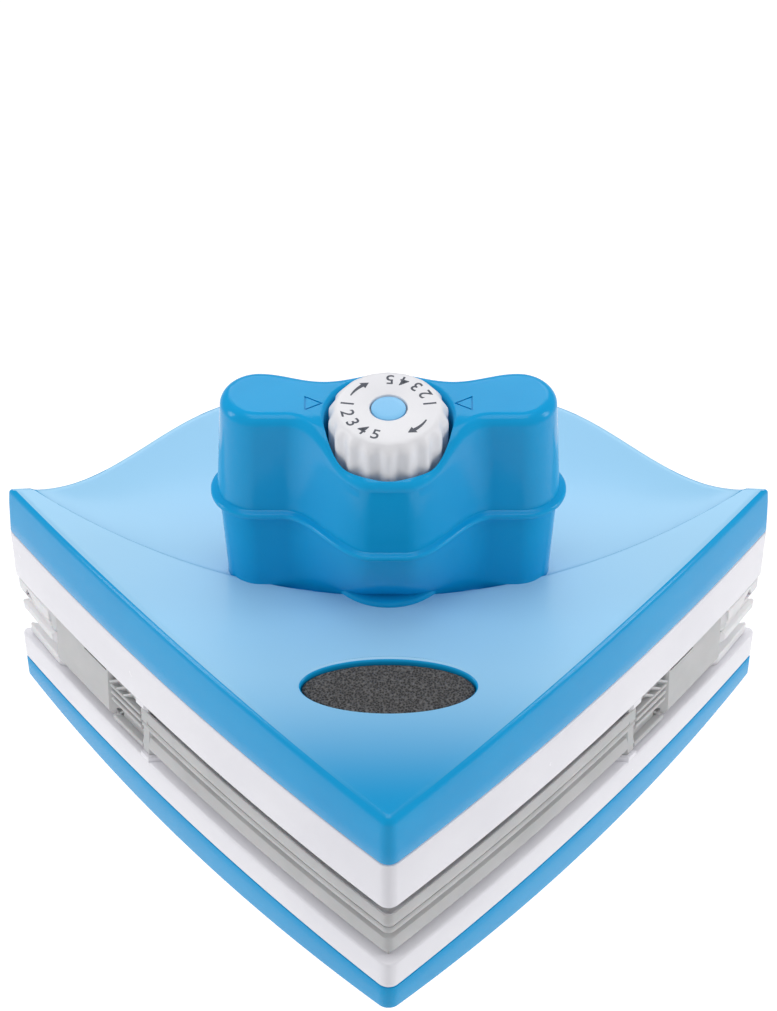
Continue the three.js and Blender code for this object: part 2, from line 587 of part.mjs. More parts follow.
function outerYoke() {
  const plate = box(-32.6, 32.6, -12.2, 25.2, 65.3, 66.8);
  const posts = POST_PLACES.map(([x, y]) => cylinder(POST_RADIUS + 0.6, 60, 70, x, y, 16));
  return cut(plate, cylinder(HUB_RADIUS + GAP, 60, 70, 0, 0, 28), ...posts);
}

function magnet(x, y, low) {
  const { length, width, height } = MAGNET;
  const chamfer = 0.6;
  const shape = new THREE.Shape();
  const [w, d] = [length / 2, width / 2];
  shape.moveTo(-w + chamfer, -d).lineTo(w - chamfer, -d).lineTo(w, -d + chamfer).lineTo(w, d - chamfer);
  shape.lineTo(w - chamfer, d).lineTo(-w + chamfer, d).lineTo(-w, d - chamfer).lineTo(-w, -d + chamfer);
  const geometry = new THREE.ExtrudeGeometry(shape, { depth: height, bevelEnabled: false });
  geometry.translate(x, y, low);
  return solid(geometry);
}

// ---------------------------------------------------------------- inner unit
function innerCover() {
  const shell = cut(prism(bodyOutline(0), 5, LOW_SEAM_Z - GAP / 2), underside(0));
  const hollow = cut(prism(bodyOutline(WALL), 5, LOW_SEAM_Z + 1), underside(WALL));
  const columns = screwBosses(SCREW_PLACES, 5, 31, SCREW.column).map((column) => cut(column, underside(1)));
  const pilots = screwBosses(SCREW_PLACES, 22, 40, SCREW.hole);
  const gripHoles = screwBosses(HANDLE_SCREW_PLACES, 5, 30, SCREW.hole);
  return cut(join(cut(shell, hollow), ...columns), ...pilots, ...gripHoles);
}

function innerGrip() {
  const profile = [[0, 0.2], [1.2, 1.4], [20, 2.6]];
  const outer = skin(profile.map(([z, grow]) => level(handleOutline(grow, BULGE - 3), z)));
  const inside = prism(handleOutline(-1.6, BULGE - 3), WALL, 30);
  const columns = screwBosses(HANDLE_SCREW_PLACES, 1, 20, SCREW.column);
  const pilots = screwBosses(HANDLE_SCREW_PLACES, 4, 30, SCREW.hole);
  return cut(join(cut(outer, inside), ...columns), ...pilots).intersect(underside(-GAP));
}

function innerBase() {
  const wall = prism(bodyOutline(0), LOW_SEAM_Z + GAP / 2, LOW_FLANGE_Z);
  const plateau = prism(bodyOutline(PLATEAU_INSET), LOW_FLANGE_Z - 1, LOW_FACE_Z);
  const space = prism(bodyOutline(WALL), LOW_SEAM_Z - 1, LOW_FLANGE_Z - FLOOR);
  const roofSpace = prism(bodyOutline(PLATEAU_INSET + WALL), LOW_FLANGE_Z - 3, LOW_FACE_Z - FLOOR);
  const tray = cut(join(wall, plateau), space, roofSpace);
  const bosses = screwBosses(SCREW_PLACES, 31.3, LOW_FACE_Z, SCREW.boss);
  const yokeBosses = screwBosses(YOKE_SCREW_PLACES, 29, LOW_FACE_Z - 1, SCREW.column);
  const heads = screwBosses(SCREW_PLACES, LOW_FACE_Z - 3, LOW_FACE_Z + 1, SCREW.head + GAP);
  const holes = screwBosses(SCREW_PLACES, 25, LOW_FACE_Z, SCREW.hole);
  const yokeHoles = screwBosses(YOKE_SCREW_PLACES, 25, LOW_FACE_Z - 2.4, SCREW.hole);
  const ribs = MAGNET_PLACES.flatMap(([x, y]) => magnetRibs(x, y, 31, LOW_FACE_Z - 1));
  const teeth = [-1, 1].map((side) => shellTooth(side, LOW_FLANGE_Z, 1));
  return cut(join(tray, ...bosses, ...yokeBosses, ...ribs, ...teeth), ...heads, ...holes, ...yokeHoles);
}

// Ribs at the two ends of a magnet, which keep it in place.
function magnetRibs(x, y, low, high) {
  return [-1, 1].map((side) => {
    const near = x + side * (MAGNET.length / 2 + GAP);
    const far = near + side * 1.2;
    return box(Math.min(near, far), Math.max(near, far), y - 4, y + 4, low, high);
  });
}

function innerYoke() {
  const plate = box(-33, 33, -13, 25, 27.2, 28.7);
  return cut(plate, ...screwBosses(YOKE_SCREW_PLACES, 20, 30, SCREW.hole));
}

// ---------------------------------------------------------------- rubber strips and pads
const BLADE_END = 0.63;         // run where the long blade ends
const RIB_END = 0.725;
const BLOCK_END = 0.895;
const LAP = 0.004;              // half of the gap between neighbours along a side
const SIDE_LENGTH = 133;        // along the wall from the front corner to a tip
const FIN_SLOPE = Math.tan(THREE.MathUtils.degToRad(43));

// A long blade with an upright of the given face and heights at both ends.
function blade(profile, [face, low, high]) {
  const left = between(-BLADE_END + LAP, -0.02, 7);
  const right = between(0.02, BLADE_END - LAP, 7);
  const upright = [[5, high], [face, high], [face, low], [5, low]];
  const uprights = [-1, 1].map((side) => {
    return strip(upright, ordered([(BLADE_END - 0.02) * side, (BLADE_END - LAP) * side]));
  });
  return join(strip(profile, [...left, -0.01, 0, 0.01, ...right]), ...uprights);
}

const OUTER_BLADE = [
  [6.1, 50.4], [4.8, 50.4], [4.8, 45.7], [1.9, 45.7], [1.5, 47.4], [1, 47.4], [0.95, 44.6],
  [1.2, GLASS_Z + 0.15], [3.6, GLASS_Z + 0.15], [4.8, 44.7], [6.1, 44.7],
];
const OUTER_UPRIGHT = [0.9, GLASS_Z + 0.15, 49.2];
const INNER_BLADE = [
  [6.1, 31.9], [2.6, 31.9], [2.6, 34.6], [1.2, 35], [0.75, 35.4], [0.8, 36.2], [1.25, 39], [2.8, 39.4],
  [2.8, 40.6], [1.1, 41.2], [0.95, 42.4], [1.2, GLASS_Z - 0.15], [3.6, GLASS_Z - 0.15], [4.4, 36.6],
  [6.1, 36.6],
];
const INNER_UPRIGHT = [0.8, 33.2, GLASS_Z - 0.15];

// Small tooth of a white shell at the end of a long blade, from its flange down (way -1) or up (way 1).
function shellTooth(side, flange, way) {
  const [root, tip] = [flange - way * 0.5, flange + way * 1.4];
  const runs = ordered([(BLADE_END - 0.024) * side, (BLADE_END - 0.002) * side]);
  return strip([[2, root], [0.05, root], [0.05, tip], [2, tip]], runs);
}

// Closes the gap between the two units near a tip; its lower part hangs in front of the inner unit's lip.
function sealBlock(side) {
  const runs = between(RIB_END + LAP, BLOCK_END - LAP, 3).map((run) => run * side);
  const profile = [
    [6.1, 50.4], [1.5, 50.4], [1.2, 47.6], [0.9, 35], [1.2, 34.2], [2, 34.2], [2, 36.2], [3.1, 36.2],
    [3.1, 44], [6.1, 44],
  ];
  const slit = [[7, 49.6], [0.5, 49.6], [0.5, 47.9], [7, 47.9]];
  const slitRuns = between(RIB_END + 0.01, RIB_END + 0.08, 2).map((run) => run * side);
  return cut(strip(profile, ordered(runs)), strip(slit, ordered(slitRuns)));
}

const ordered = (runs) => [...runs].sort((a, b) => a - b);

// Ribbed joint between the long blade and the seal block: rails, and fins that climb towards the corner.
function ribJoint(side, outer) {
  const span = (from, to, steps) => ordered(between(from, to, steps).map((run) => run * side));
  const whole = span(BLADE_END + LAP, RIB_END - LAP, 2);
  const web = outer
    ? [[6.1, 50.4], [2, 50.4], [2.1, 46], [3.2, 45.8], [3.2, 43.2], [6.1, 43.2]]
    : [[6.1, 42.8], [2.6, 42.8], [2.8, 36.6], [2.6, 34.4], [3, 31.9], [6.1, 31.9]];
  const levels = outer ? [[43.9, 44.9]] : [[41.6, 42.7], [39.4, 40.4], [33, 34.6]];
  const rails = levels.map(([low, high]) => strip([[4, high], [1.1, high], [1.1, low], [4, low]], whole));
  const rise = 3.4;
  const reach = rise / FIN_SLOPE / SIDE_LENGTH;
  const fins = [0, 1, 2].map((k) => {
    const start = RIB_END - LAP - 0.021 * k;
    const climb = (run) => (start - Math.abs(run)) * SIDE_LENGTH * FIN_SLOPE;
    return strip([[2.6, 45.95], [1, 45.95], [1, 45.25], [2.6, 45.25]], span(start - reach, start, 1), climb);
  });
  return join(strip(web, whole), ...rails, ...(outer ? fins : []));
}

// Soft tab around a side tip, with a three-cornered window.
function cornerTab(side, outer) {
  const around = [BLOCK_END + LAP, 0.94, 1, 1.008, 1.016].map((run) => run * side);
  const profile = outer
    ? [[5.4, 50.4], [2.2, 50.4], [1.2, 49.4], [0.8, 46.5], [1.4, 43.2], [5.4, 43.2]]
    : [[5.4, 42.8], [1.6, 42.8], [1.1, 39], [1.6, 31.9], [5.4, 31.9]];
  const [high, low] = outer ? [47.9, 45.3] : [41.6, 39.2];
  const tip = edgePoint(0, side * 0.965);
  const shape = new THREE.Shape();
  shape.moveTo(-2.4, low).lineTo(2.4, low).lineTo(0.2, high).closePath();
  const hole = new THREE.ExtrudeGeometry(shape, { depth: 20, bevelEnabled: false });
  hole.rotateX(Math.PI / 2);
  hole.translate(0, 10, 0);
  const bearing = Math.atan2(tip.y - FRONT_Y, tip.x);
  hole.rotateZ(bearing);
  hole.translate(tip.x, tip.y, 0);
  return cut(strip(profile, ordered(around)), solid(hole));
}

// Lower lip of the inner unit under the seal block.
function lowerLip(side) {
  const runs = ordered(between(RIB_END + LAP, BLOCK_END - LAP, 3).map((run) => run * side));
  const profile = [[6.1, 31.9], [2.6, 31.9], [2.6, 34.6], [3.6, 35.6], [3.6, 42.8], [6.1, 42.8]];
  return strip(profile, runs);
}

function wipingPad(low, high) {
  const outline = bodyOutline(PAD_INSET);
  return skin([level(outline, low), level(outline, high)]);
}

// ---------------------------------------------------------------- assembly
const product = new THREE.Group();

function add(name, piece, material) {
  const mesh = piece.getMesh();
  const geometry = new THREE.BufferGeometry();
  geometry.setAttribute('position', new THREE.Float32BufferAttribute(mesh.vertProperties, mesh.numProp));
  geometry.setIndex(new THREE.Uint32BufferAttribute(mesh.triVerts, 1));
  geometry.computeVertexNormals();
  const part = new THREE.Mesh(geometry, material);
  part.name = name;
  product.add(part);
}

function addScrews(name, places, seat, length, way) {
  places.forEach(([x, y], i) => add(`${name}_${i + 1}`, screw(x, y, seat, length, way), metal(ZINC)));
}

function addInnerUnit() {
  add('inner_grip', innerGrip(), plastic(BLUE));
  add('inner_cover', innerCover(), plastic(BLUE));
  add('inner_base', innerBase(), plastic(WHITE));
  add('inner_yoke_plate', innerYoke(), metal(PLAIN_STEEL));
  MAGNET_PLACES.forEach(([x, y], i) => add(`inner_magnet_${i + 1}`, magnet(x, y, 29), metal(NICKEL, 0.25)));
  add('inner_wiping_pad', wipingPad(LOW_FACE_Z + GAP, GLASS_Z - 0.15), plastic(FLEECE, 0.95));
  add('inner_blade', blade(INNER_BLADE, INNER_UPRIGHT), plastic(RUBBER, 0.4));
  [['left', -1], ['right', 1]].forEach(([name, side]) => {
    add(`inner_rib_joint_${name}`, ribJoint(side, false), plastic(RUBBER, 0.4));
    add(`inner_lip_${name}`, lowerLip(side), plastic(RUBBER, 0.4));
    add(`inner_corner_tab_${name}`, cornerTab(side, false), plastic(RUBBER, 0.4));
  });
  addScrews('inner_screw', SCREW_PLACES, LOW_FACE_Z - 0.5, 14, -1);
  addScrews('yoke_screw', YOKE_SCREW_PLACES, 24.7, 10, 1);
  addScrews('grip_screw', HANDLE_SCREW_PLACES, 19.4, 13, -1);
}

function addOuterUnit() {
  add('outer_cover', outerCover(), plastic(BLUE));
  add('handle_base', handleBase(), plastic(BLUE));
  add('handle_cap', handleCap(), plastic(BLUE));
  add('outer_base', outerBase(), plastic(WHITE));
  add('water_sponge', waterSponge(), plastic(0x3c3a3a, 1));
  add('outer_wiping_pad', wipingPad(GLASS_Z + 0.15, HIGH_FACE_Z - GAP), plastic(FLEECE, 0.95));
  add('outer_blade', blade(OUTER_BLADE, OUTER_UPRIGHT), plastic(RUBBER, 0.4));
  [['left', -1], ['right', 1]].forEach(([name, side]) => {
    add(`outer_rib_joint_${name}`, ribJoint(side, true), plastic(RUBBER, 0.4));
    add(`outer_seal_block_${name}`, sealBlock(side), plastic(RUBBER, 0.4));
    add(`outer_corner_tab_${name}`, cornerTab(side, true), plastic(RUBBER, 0.4));
  });
  addScrews('outer_screw', SCREW_PLACES, HIGH_FACE_Z + 0.5, 14, 1);
  addScrews('handle_screw', HANDLE_SCREW_PLACES, 71.6, 15, 1);
  add('detent_spring', detentSpring(), metal(0xb0b4b8, 0.3));
}

function addDial() {
  add('knob', knob(), plastic(0xf7f7fb, 0.25));
  add('knob_badge', cylinder(BADGE_RADIUS, 129.9, KNOB_TOP_Z - 0.1), plastic(0xb2dbfb, 0.25));
  add('knob_screw', screw(0, 0, 128.8, 12, -1), metal(ZINC));
  add('cam_spindle', camSpindle(), plastic(0xe6e4dc, 0.4));
}

function addCarrier() {
  add('magnet_carrier', magnetCarrier(), plastic(0xd8d8dc, 0.5));
  add('outer_yoke_plate', outerYoke(), metal(PLAIN_STEEL));
  MAGNET_PLACES.forEach(([x, y], i) => add(`outer_magnet_${i + 1}`, magnet(x, y, 57), metal(NICKEL, 0.25)));
  add('follower_pin_1', followerPin(-1), metal(0xc0c4c8, 0.2));
  add('follower_pin_2', followerPin(1), metal(0xc0c4c8, 0.2));
}

addInnerUnit();
addOuterUnit();
addDial();
addCarrier();

export default product;
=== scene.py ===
"""Looks of a double-sided magnetic glass cleaner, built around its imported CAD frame.

Plans and profiles are in millimetres, like the CAD, and become metres when a mesh is made.
"""
import json
import math

import bmesh
import bpy
import numpy as np
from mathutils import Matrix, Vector, noise


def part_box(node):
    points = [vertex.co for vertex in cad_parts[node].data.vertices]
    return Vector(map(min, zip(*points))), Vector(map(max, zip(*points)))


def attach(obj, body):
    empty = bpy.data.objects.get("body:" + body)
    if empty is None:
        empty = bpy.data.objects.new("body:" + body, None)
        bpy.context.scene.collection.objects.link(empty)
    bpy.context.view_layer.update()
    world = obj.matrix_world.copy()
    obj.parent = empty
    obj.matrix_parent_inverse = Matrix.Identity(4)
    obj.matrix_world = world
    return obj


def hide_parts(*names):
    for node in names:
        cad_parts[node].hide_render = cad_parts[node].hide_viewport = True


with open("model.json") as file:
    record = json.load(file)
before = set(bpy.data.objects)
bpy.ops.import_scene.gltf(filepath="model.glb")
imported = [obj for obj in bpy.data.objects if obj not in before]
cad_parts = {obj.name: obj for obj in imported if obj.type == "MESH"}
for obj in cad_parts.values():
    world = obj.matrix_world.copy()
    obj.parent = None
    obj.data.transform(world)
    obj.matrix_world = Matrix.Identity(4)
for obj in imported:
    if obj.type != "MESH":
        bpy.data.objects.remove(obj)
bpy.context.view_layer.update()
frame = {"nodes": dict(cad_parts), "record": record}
MM = 0.001


# ---------------------------------------------------------------- levels, taken from the frame
def z_range(node):
    low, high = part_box(node)
    return low.z / MM, high.z / MM


LOW_COVER_Z = z_range("inner_cover")[0]
LOW_FACE_Z = z_range("inner_base")[1]
LOW_SEAM_Z = z_range("inner_base")[0] - 0.15
HIGH_FACE_Z = z_range("outer_base")[0]
PLATE_Z = z_range("outer_cover")[1]
BEAD_Z, HANDLE_TOP_Z = z_range("handle_cap")
KNOB_LOW_Z, KNOB_TOP_Z = z_range("knob")
SPONGE_LOW_Z, SPONGE_TOP_Z = z_range("water_sponge")
LOW_FLANGE_Z = LOW_SEAM_Z + 8.3
HIGH_FLANGE_Z = HIGH_FACE_Z + 4.35
HIGH_SEAM_Z = HIGH_FLANGE_Z + 14.25
GLASS_Z = (z_range("inner_wiping_pad")[1] + z_range("outer_wiping_pad")[0]) / 2
GAP = 0.3
WALL = 2.2
FLOOR = 2
PLATEAU_INSET = 6.5
PAD_INSET = 8

# ---------------------------------------------------------------- plan of the body
WIDTH = 173.4
FRONT_Y = -65.65
BACK_Y = 65.8
TIP_BACK_Y = 33.5
REAR_FLARE = 58.85
REAR_POWER = 4.8
SIDE_RADIUS = 731
CORNER_RADIUS = 3
TIP_RADIUS = 1.3
LEAST_RADIUS = 0.4


def rear_y(x):
    return TIP_BACK_Y + (BACK_Y - TIP_BACK_Y) * np.exp(-((np.abs(x) / REAR_FLARE) ** REAR_POWER))


def rear_normal(x):
    slope = (rear_y(x + 0.01) - rear_y(x - 0.01)) / 0.02
    return np.array([-slope, np.ones_like(slope)]) / np.sqrt(1 + slope**2)


def side_centre():
    """Centre of the large circle of the right-hand front side."""
    corner = np.array([0, FRONT_Y + CORNER_RADIUS])
    tip_x = WIDTH / 2 - TIP_RADIUS
    tip = np.array([tip_x, rear_y(tip_x) - TIP_RADIUS])
    a, b = SIDE_RADIUS - CORNER_RADIUS, SIDE_RADIUS - TIP_RADIUS
    span = np.linalg.norm(tip - corner)
    along = (a * a - b * b + span * span) / (2 * span)
    direction = (tip - corner) / span
    inward = np.array([-direction[1], direction[0]])
    return corner + direction * along + inward * math.sqrt(a * a - along * along)


SIDE_CENTRE = side_centre()


def corner_circle(inset):
    radius = max(CORNER_RADIUS - inset, LEAST_RADIUS)
    reach = SIDE_RADIUS - inset - radius
    return np.array([0, SIDE_CENTRE[1] - math.sqrt(reach**2 - SIDE_CENTRE[0] ** 2)]), radius


def tip_circle(inset):
    """Centre, radius and rear-edge x of the circle that rounds a side tip."""
    radius = max(TIP_RADIUS - inset, LEAST_RADIUS)

    def centre_at(x):
        return np.array([x, float(rear_y(x))]) - rear_normal(np.float64(x)) * (inset + radius)

    near, far = 20.0, WIDTH / 2
    for _ in range(40):
        middle = (near + far) / 2
        if np.linalg.norm(centre_at(middle) - SIDE_CENTRE) < SIDE_RADIUS - inset - radius:
            near = middle
        else:
            far = middle
    return centre_at(near), radius, near


def arc(centre, radius, start, end, steps):
    angles = np.linspace(start, end, steps + 1)
    return np.stack([centre[0] + radius * np.cos(angles), centre[1] + radius * np.sin(angles)], axis=1)


def bearing(vector):
    return math.atan2(vector[1], vector[0])


def body_half(inset, steps):
    """Right half of the outline moved in by inset, from the front corner to the middle of the rear edge."""
    corner, corner_radius = corner_circle(inset)
    tip, tip_radius, tip_x = tip_circle(inset)
    start, end = bearing(corner - SIDE_CENTRE), bearing(tip - SIDE_CENTRE)
    normal = rear_normal(np.float64(tip_x))
    share = np.arange(1, steps["rear"] + 1) / steps["rear"]
    rear_x = tip_x * np.cos(share * math.pi / 2)
    rear = np.stack([rear_x, rear_y(rear_x)], axis=1) - rear_normal(rear_x).T * inset
    return np.concatenate([
        arc(corner, corner_radius, -math.pi / 2, start, steps["corner"]),
        arc(SIDE_CENTRE, SIDE_RADIUS - inset, start, end, steps["side"])[1:-1],
        arc(tip, tip_radius, end, bearing(normal), steps["tip"]),
        rear,
    ])


FINE = {"corner": 8, "side": 60, "tip": 10, "rear": 70}
DENSE = {"corner": 24, "side": 200, "tip": 60, "rear": 300}


def mirrored(half):
    """A closed outline from its right half."""
    left = half[1:-1][::-1] * np.array([-1, 1])
    return np.concatenate([half, left])


def body_ring(inset):
    return mirrored(body_half(inset, FINE))


def edge_point(inset, run):
    """A point on the front of the outline: run is -1 at the left tip, 0 at the corner, 1 at the right tip."""
    side = -1 if run < 0 else 1
    corner, corner_radius = corner_circle(inset)
    tip, tip_radius, tip_x = tip_circle(inset)
    start, end = bearing(corner - SIDE_CENTRE), bearing(tip - SIDE_CENTRE)
    bend = 0.02
    place = abs(run)
    if place < bend:
        angle = -math.pi / 2 + (start + math.pi / 2) * place / bend
        point = arc(corner, corner_radius, angle, angle, 1)[0]
    elif place > 1:
        last = bearing(rear_normal(np.float64(tip_x)))
        angle = end + (last - end) * min((place - 1) / bend, 1)
        point = arc(tip, tip_radius, angle, angle, 1)[0]
    else:
        angle = start + (end - start) * (place - bend) / (1 - bend)
        point = arc(SIDE_CENTRE, SIDE_RADIUS - inset, angle, angle, 1)[0]
    return np.array([point[0] * side, point[1]])


# ---------------------------------------------------------------- surfaces of the two covers
CREASE_Y = -3.5
CREASE_CURVE = 0.0054
SCOOP_STEP = 1.2
SCOOP_DEPTH = 2.5
RIM_Z = 79
RIM_DROP = 0.8
STEP_RUN = 0.8
COVER_DRAFT = 0.8


def crease_y(x):
    return CREASE_Y + CREASE_CURVE * x * x


def plate_z(y):
    return PLATE_Z - 0.000775 * (y + 12) ** 2


def underside_z(y):
    return LOW_COVER_Z + np.minimum(0.00127 * (y + 20.5) ** 2, 3.5)


def smooth(value):
    value = np.clip(value, 0, 1)
    return value * value * (3 - 2 * value)


def cover_z(x, y):
    """Height of the outer cover: a crowned front plate, a small step at the crease, then a hollow."""
    crease = crease_y(x)
    length = np.maximum(rear_y(x) - crease, 1)
    along = np.clip((y - crease) / length, 0, 1)
    edge = plate_z(crease)
    start = edge - SCOOP_STEP * np.minimum(length / 12, 1)
    rim = RIM_Z - RIM_DROP * smooth((np.abs(x) - 60) / 18)
    hollow = SCOOP_DEPTH * np.minimum(length / 55, 1) * np.sin(math.pi * along)
    floor = start + (rim - start) * along - hollow
    drop = smooth((y - crease) / STEP_RUN)
    return np.where(y <= crease, plate_z(y), edge + (floor - edge) * drop)


def cover_inset(z):
    """How far the outer cover's leaning wall stands in from the body outline."""
    return COVER_DRAFT * (z - HIGH_SEAM_Z) / (PLATE_Z - HIGH_SEAM_Z)


# ---------------------------------------------------------------- plan of the handle
LOBE_X = 27
LOBE_Y = 7.35
LOBE_RADIUS = 7.75
BULGE = 13.9
BULGE_FLAT = 3.2
BULGE_RUN = 18
BEAD_BULGE = 12.6
FOOT_BULGE = 3.9
BACK_WAVE_Y = 13.85
BACK_WAVE = 1.25
CAP_DRAFT = 1.0486
FOOT_STRETCH = 1.028
NECK_STRETCH = 1.038


def handle_ring(grow, bulge=BULGE, stretch=1.0, steps=60):
    """Closed three-lobed outline from the middle of its front, moved out by grow."""
    def front(x):
        slope = np.clip((np.abs(x) - BULGE_FLAT) / BULGE_RUN, 0, 1)
        return LOBE_Y - LOBE_RADIUS - bulge * (1 + np.cos(math.pi * slope)) / 2

    def back(x):
        return BACK_WAVE_Y + BACK_WAVE * np.cos(2 * math.pi * x / LOBE_X)

    def moved(x, curve, away):
        slope = (curve(x + 0.01) - curve(x - 0.01)) / 0.02
        normal = np.stack([-slope * away, np.full_like(slope, away)], axis=1) / np.sqrt(1 + slope**2)[:, None]
        return np.stack([x, curve(x)], axis=1) + normal * grow

    x = np.linspace(0, LOBE_X, steps)
    lobe = arc((LOBE_X, LOBE_Y), LOBE_RADIUS + grow, -math.pi / 2, math.pi / 2, steps)
    half = np.concatenate([moved(x, front, -1), lobe[1:-1], moved(x[::-1], back, 1)])
    return mirrored(half) * np.array([stretch, 1])


def handle_top_z(x, y):
    across = smooth((19 - np.abs(x)) / 11)
    forward = smooth((1 - y) / 11)
    return HANDLE_TOP_Z - 5 * across * forward


# ---------------------------------------------------------------- mesh helpers
def new_object(name, vertices, faces, angle=38):
    """A smooth-shaded mesh object from millimetre points; creases over the angle stay sharp."""
    mesh = bpy.data.meshes.new(name)
    points = (np.asarray(vertices, float) * MM).tolist()
    mesh.from_pydata(points, [], [list(map(int, face)) for face in faces])
    work = bmesh.new()
    work.from_mesh(mesh)
    bmesh.ops.remove_doubles(work, verts=work.verts, dist=4e-7)
    bmesh.ops.dissolve_degenerate(work, edges=work.edges, dist=1e-8)
    bmesh.ops.recalc_face_normals(work, faces=work.faces)
    work.to_mesh(mesh)
    work.free()
    obj = bpy.data.objects.new(name, mesh)
    bpy.context.scene.collection.objects.link(obj)
    shade(obj, angle)
    return obj


def shade(obj, angle=38):
    obj.data.polygons.foreach_set("use_smooth", [True] * len(obj.data.polygons))
    obj.data.set_sharp_from_angle(angle=math.radians(angle))


def rings_to_mesh(name, rings, angle=38, closed=False):
    """A body over rings with equal numbers of points, with its two ends filled unless the rings close up."""
    rings = [np.asarray(ring, float) for ring in rings]
    count = len(rings[0])
    faces = []
    last = len(rings) if closed else len(rings) - 1
    for k in range(last):
        low, high = k * count, ((k + 1) % len(rings)) * count
        for i in range(count):
            j = (i + 1) % count
            faces.append([low + i, low + j, high + j, high + i])
    if not closed:
        faces.append(list(range(count))[::-1])
        faces.append([(len(rings) - 1) * count + i for i in range(count)])
    return new_object(name, np.concatenate(rings), faces, angle)


def at_level(ring, z):
    return np.column_stack([ring, np.full(len(ring), float(z))])


def fillet(points, radii, steps=4):
    """A polyline or polygon with its corners rounded; radii gives one radius for each point, 0 for sharp."""
    points = [np.asarray(p, float) for p in points]
    result = []
    for i, point in enumerate(points):
        radius = radii[i] if isinstance(radii, (list, tuple)) else radii
        before, after = points[i - 1] - point, points[(i + 1) % len(points)] - point
        a, b = np.linalg.norm(before), np.linalg.norm(after)
        if radius == 0 or a < 1e-6 or b < 1e-6:
            result.append(point)
            continue
        before, after = before / a, after / b
        half = math.acos(np.clip(before @ after, -1, 1)) / 2
        if half > 1.5:
            result.append(point)
            continue
        reach = min(radius / math.tan(half), a * 0.49, b * 0.49)
        for t in np.linspace(0, 1, steps + 1):
            start, end = point + before * reach, point + after * reach
            result.append((1 - t) ** 2 * start + 2 * t * (1 - t) * point + t**2 * end)
    return result


def outline_shell(name, profile, radii, angle=38):
    """A body whose section, a list of (inset, z) from one end cap to the other, follows the body outline."""
    ends = [0] + list(radii[1:-1]) + [0]
    section = fillet(profile, ends)
    return rings_to_mesh(name, [at_level(body_ring(inset), z) for inset, z in section], angle)


def strip(name, profile, runs, radius=0.25, bend=None):
    """A bar along the front edge with a rounded section of (inset, z) points."""
    section = fillet(profile, radius, 3)
    rings = []
    for run in runs:
        ring = []
        for inset, z in section:
            shift = bend(run, inset, z) if bend else (0, 0)
            x, y = edge_point(inset + shift[0], run)
            ring.append((x, y, z + shift[1]))
        rings.append(ring)
    return rings_to_mesh(name, rings, 40)


def column_shares(reach, corner, count):
    """Places across a symmetric outline, from -1 to 1, packed closely at its middle and its two ends."""
    middle = np.linspace(0, corner, 8)[:-1]
    rest = corner + (reach - corner) * np.sin(np.linspace(0, math.pi / 2, count))
    right = np.concatenate([middle, rest]) / reach
    return np.concatenate([-right[::-1], right[1:]])


def column_edges(ring, shares):
    """x, front y and rear y of a closed outline at each share of its half-width."""
    tip = int(ring[:, 0].argmax())
    rear = tip + int(np.abs(ring[tip:, 0]).argmin())
    front_side, rear_side = ring[: tip + 1], ring[tip : rear + 1][::-1]
    x = shares * ring[tip, 0]
    front = np.interp(np.abs(x), front_side[:, 0], front_side[:, 1])
    back = np.interp(np.abs(x), rear_side[:, 0], rear_side[:, 1])
    return x, front, back


def column_ring(ring, shares):
    x, front, back = column_edges(ring, shares)
    front_points = np.stack([x, front], axis=1)
    back_points = np.stack([x, back], axis=1)[1:-1][::-1]
    return np.concatenate([front_points, back_points])


def domed_shell(name, top_ring, shares, height, rows, wall, inside, flip=False):
    """A body with a curved top: rows(x, front, back) gives each column's y values, wall and inside the rings
    below it as (outline, z or a function of x and y), inside ending in a flat cap."""
    x, front, back = column_edges(top_ring, shares)
    columns = rows(x, front, back)
    count = columns.shape[1]
    grid_x = np.repeat(x[:, None], count, axis=1)
    top = np.stack([grid_x, columns, height(grid_x, columns)], axis=2).reshape(-1, 3)
    vertices = [top]
    faces = []
    for i in range(len(x) - 1):
        for j in range(count - 1):
            a = i * count + j
            faces.append([a, a + count, a + count + 1, a + 1])
    base = len(top)
    rings = [(top_ring, height)] + list(wall) + list(inside)
    size = 0
    for outline, z in rings:
        points = column_ring(outline, shares)
        size = len(points)
        level = z(points[:, 0], points[:, 1]) if callable(z) else np.full(size, float(z))
        vertices.append(np.column_stack([points, level]))
    for k in range(len(rings) - 1):
        for i in range(size):
            j = (i + 1) % size
            a, b = base + k * size, base + (k + 1) * size
            faces.append([a + i, b + i, b + j, a + j])
    faces.append([base + (len(rings) - 1) * size + i for i in range(size)])
    points = np.concatenate(vertices)
    if flip:
        points = points * np.array([1, 1, -1])
    return new_object(name, points, faces)


def boolean(obj, tool, operation="DIFFERENCE", angle=38):
    """Cuts or joins with a tool mesh, which is then removed."""
    modifier = obj.modifiers.new("boolean", "BOOLEAN")
    modifier.object, modifier.operation, modifier.solver = tool, operation, "EXACT"
    result = bpy.data.meshes.new_from_object(obj.evaluated_get(bpy.context.evaluated_depsgraph_get()))
    obj.modifiers.clear()
    obj.data = result
    bpy.data.objects.remove(tool)
    shade(obj, angle)
    return obj


def round_tool(levels, centre=(0, 0), sides=96, shorter=0):
    """A stack of circles, (radius, z) each, or of ellipses whose y radius is shorter by a fixed amount."""
    angles = np.linspace(0, 2 * math.pi, sides, endpoint=False)
    rings = []
    for radius, z in levels:
        x = centre[0] + radius * np.cos(angles)
        y = centre[1] + (radius - shorter) * np.sin(angles)
        rings.append(at_level(np.stack([x, y], axis=1), z))
    return rings_to_mesh("tool", rings)


# ---------------------------------------------------------------- materials
def linear(red, green, blue):
    def one(value):
        value /= 255
        return value / 12.92 if value <= 0.04045 else ((value + 0.055) / 1.055) ** 2.4
    return (one(red), one(green), one(blue), 1)


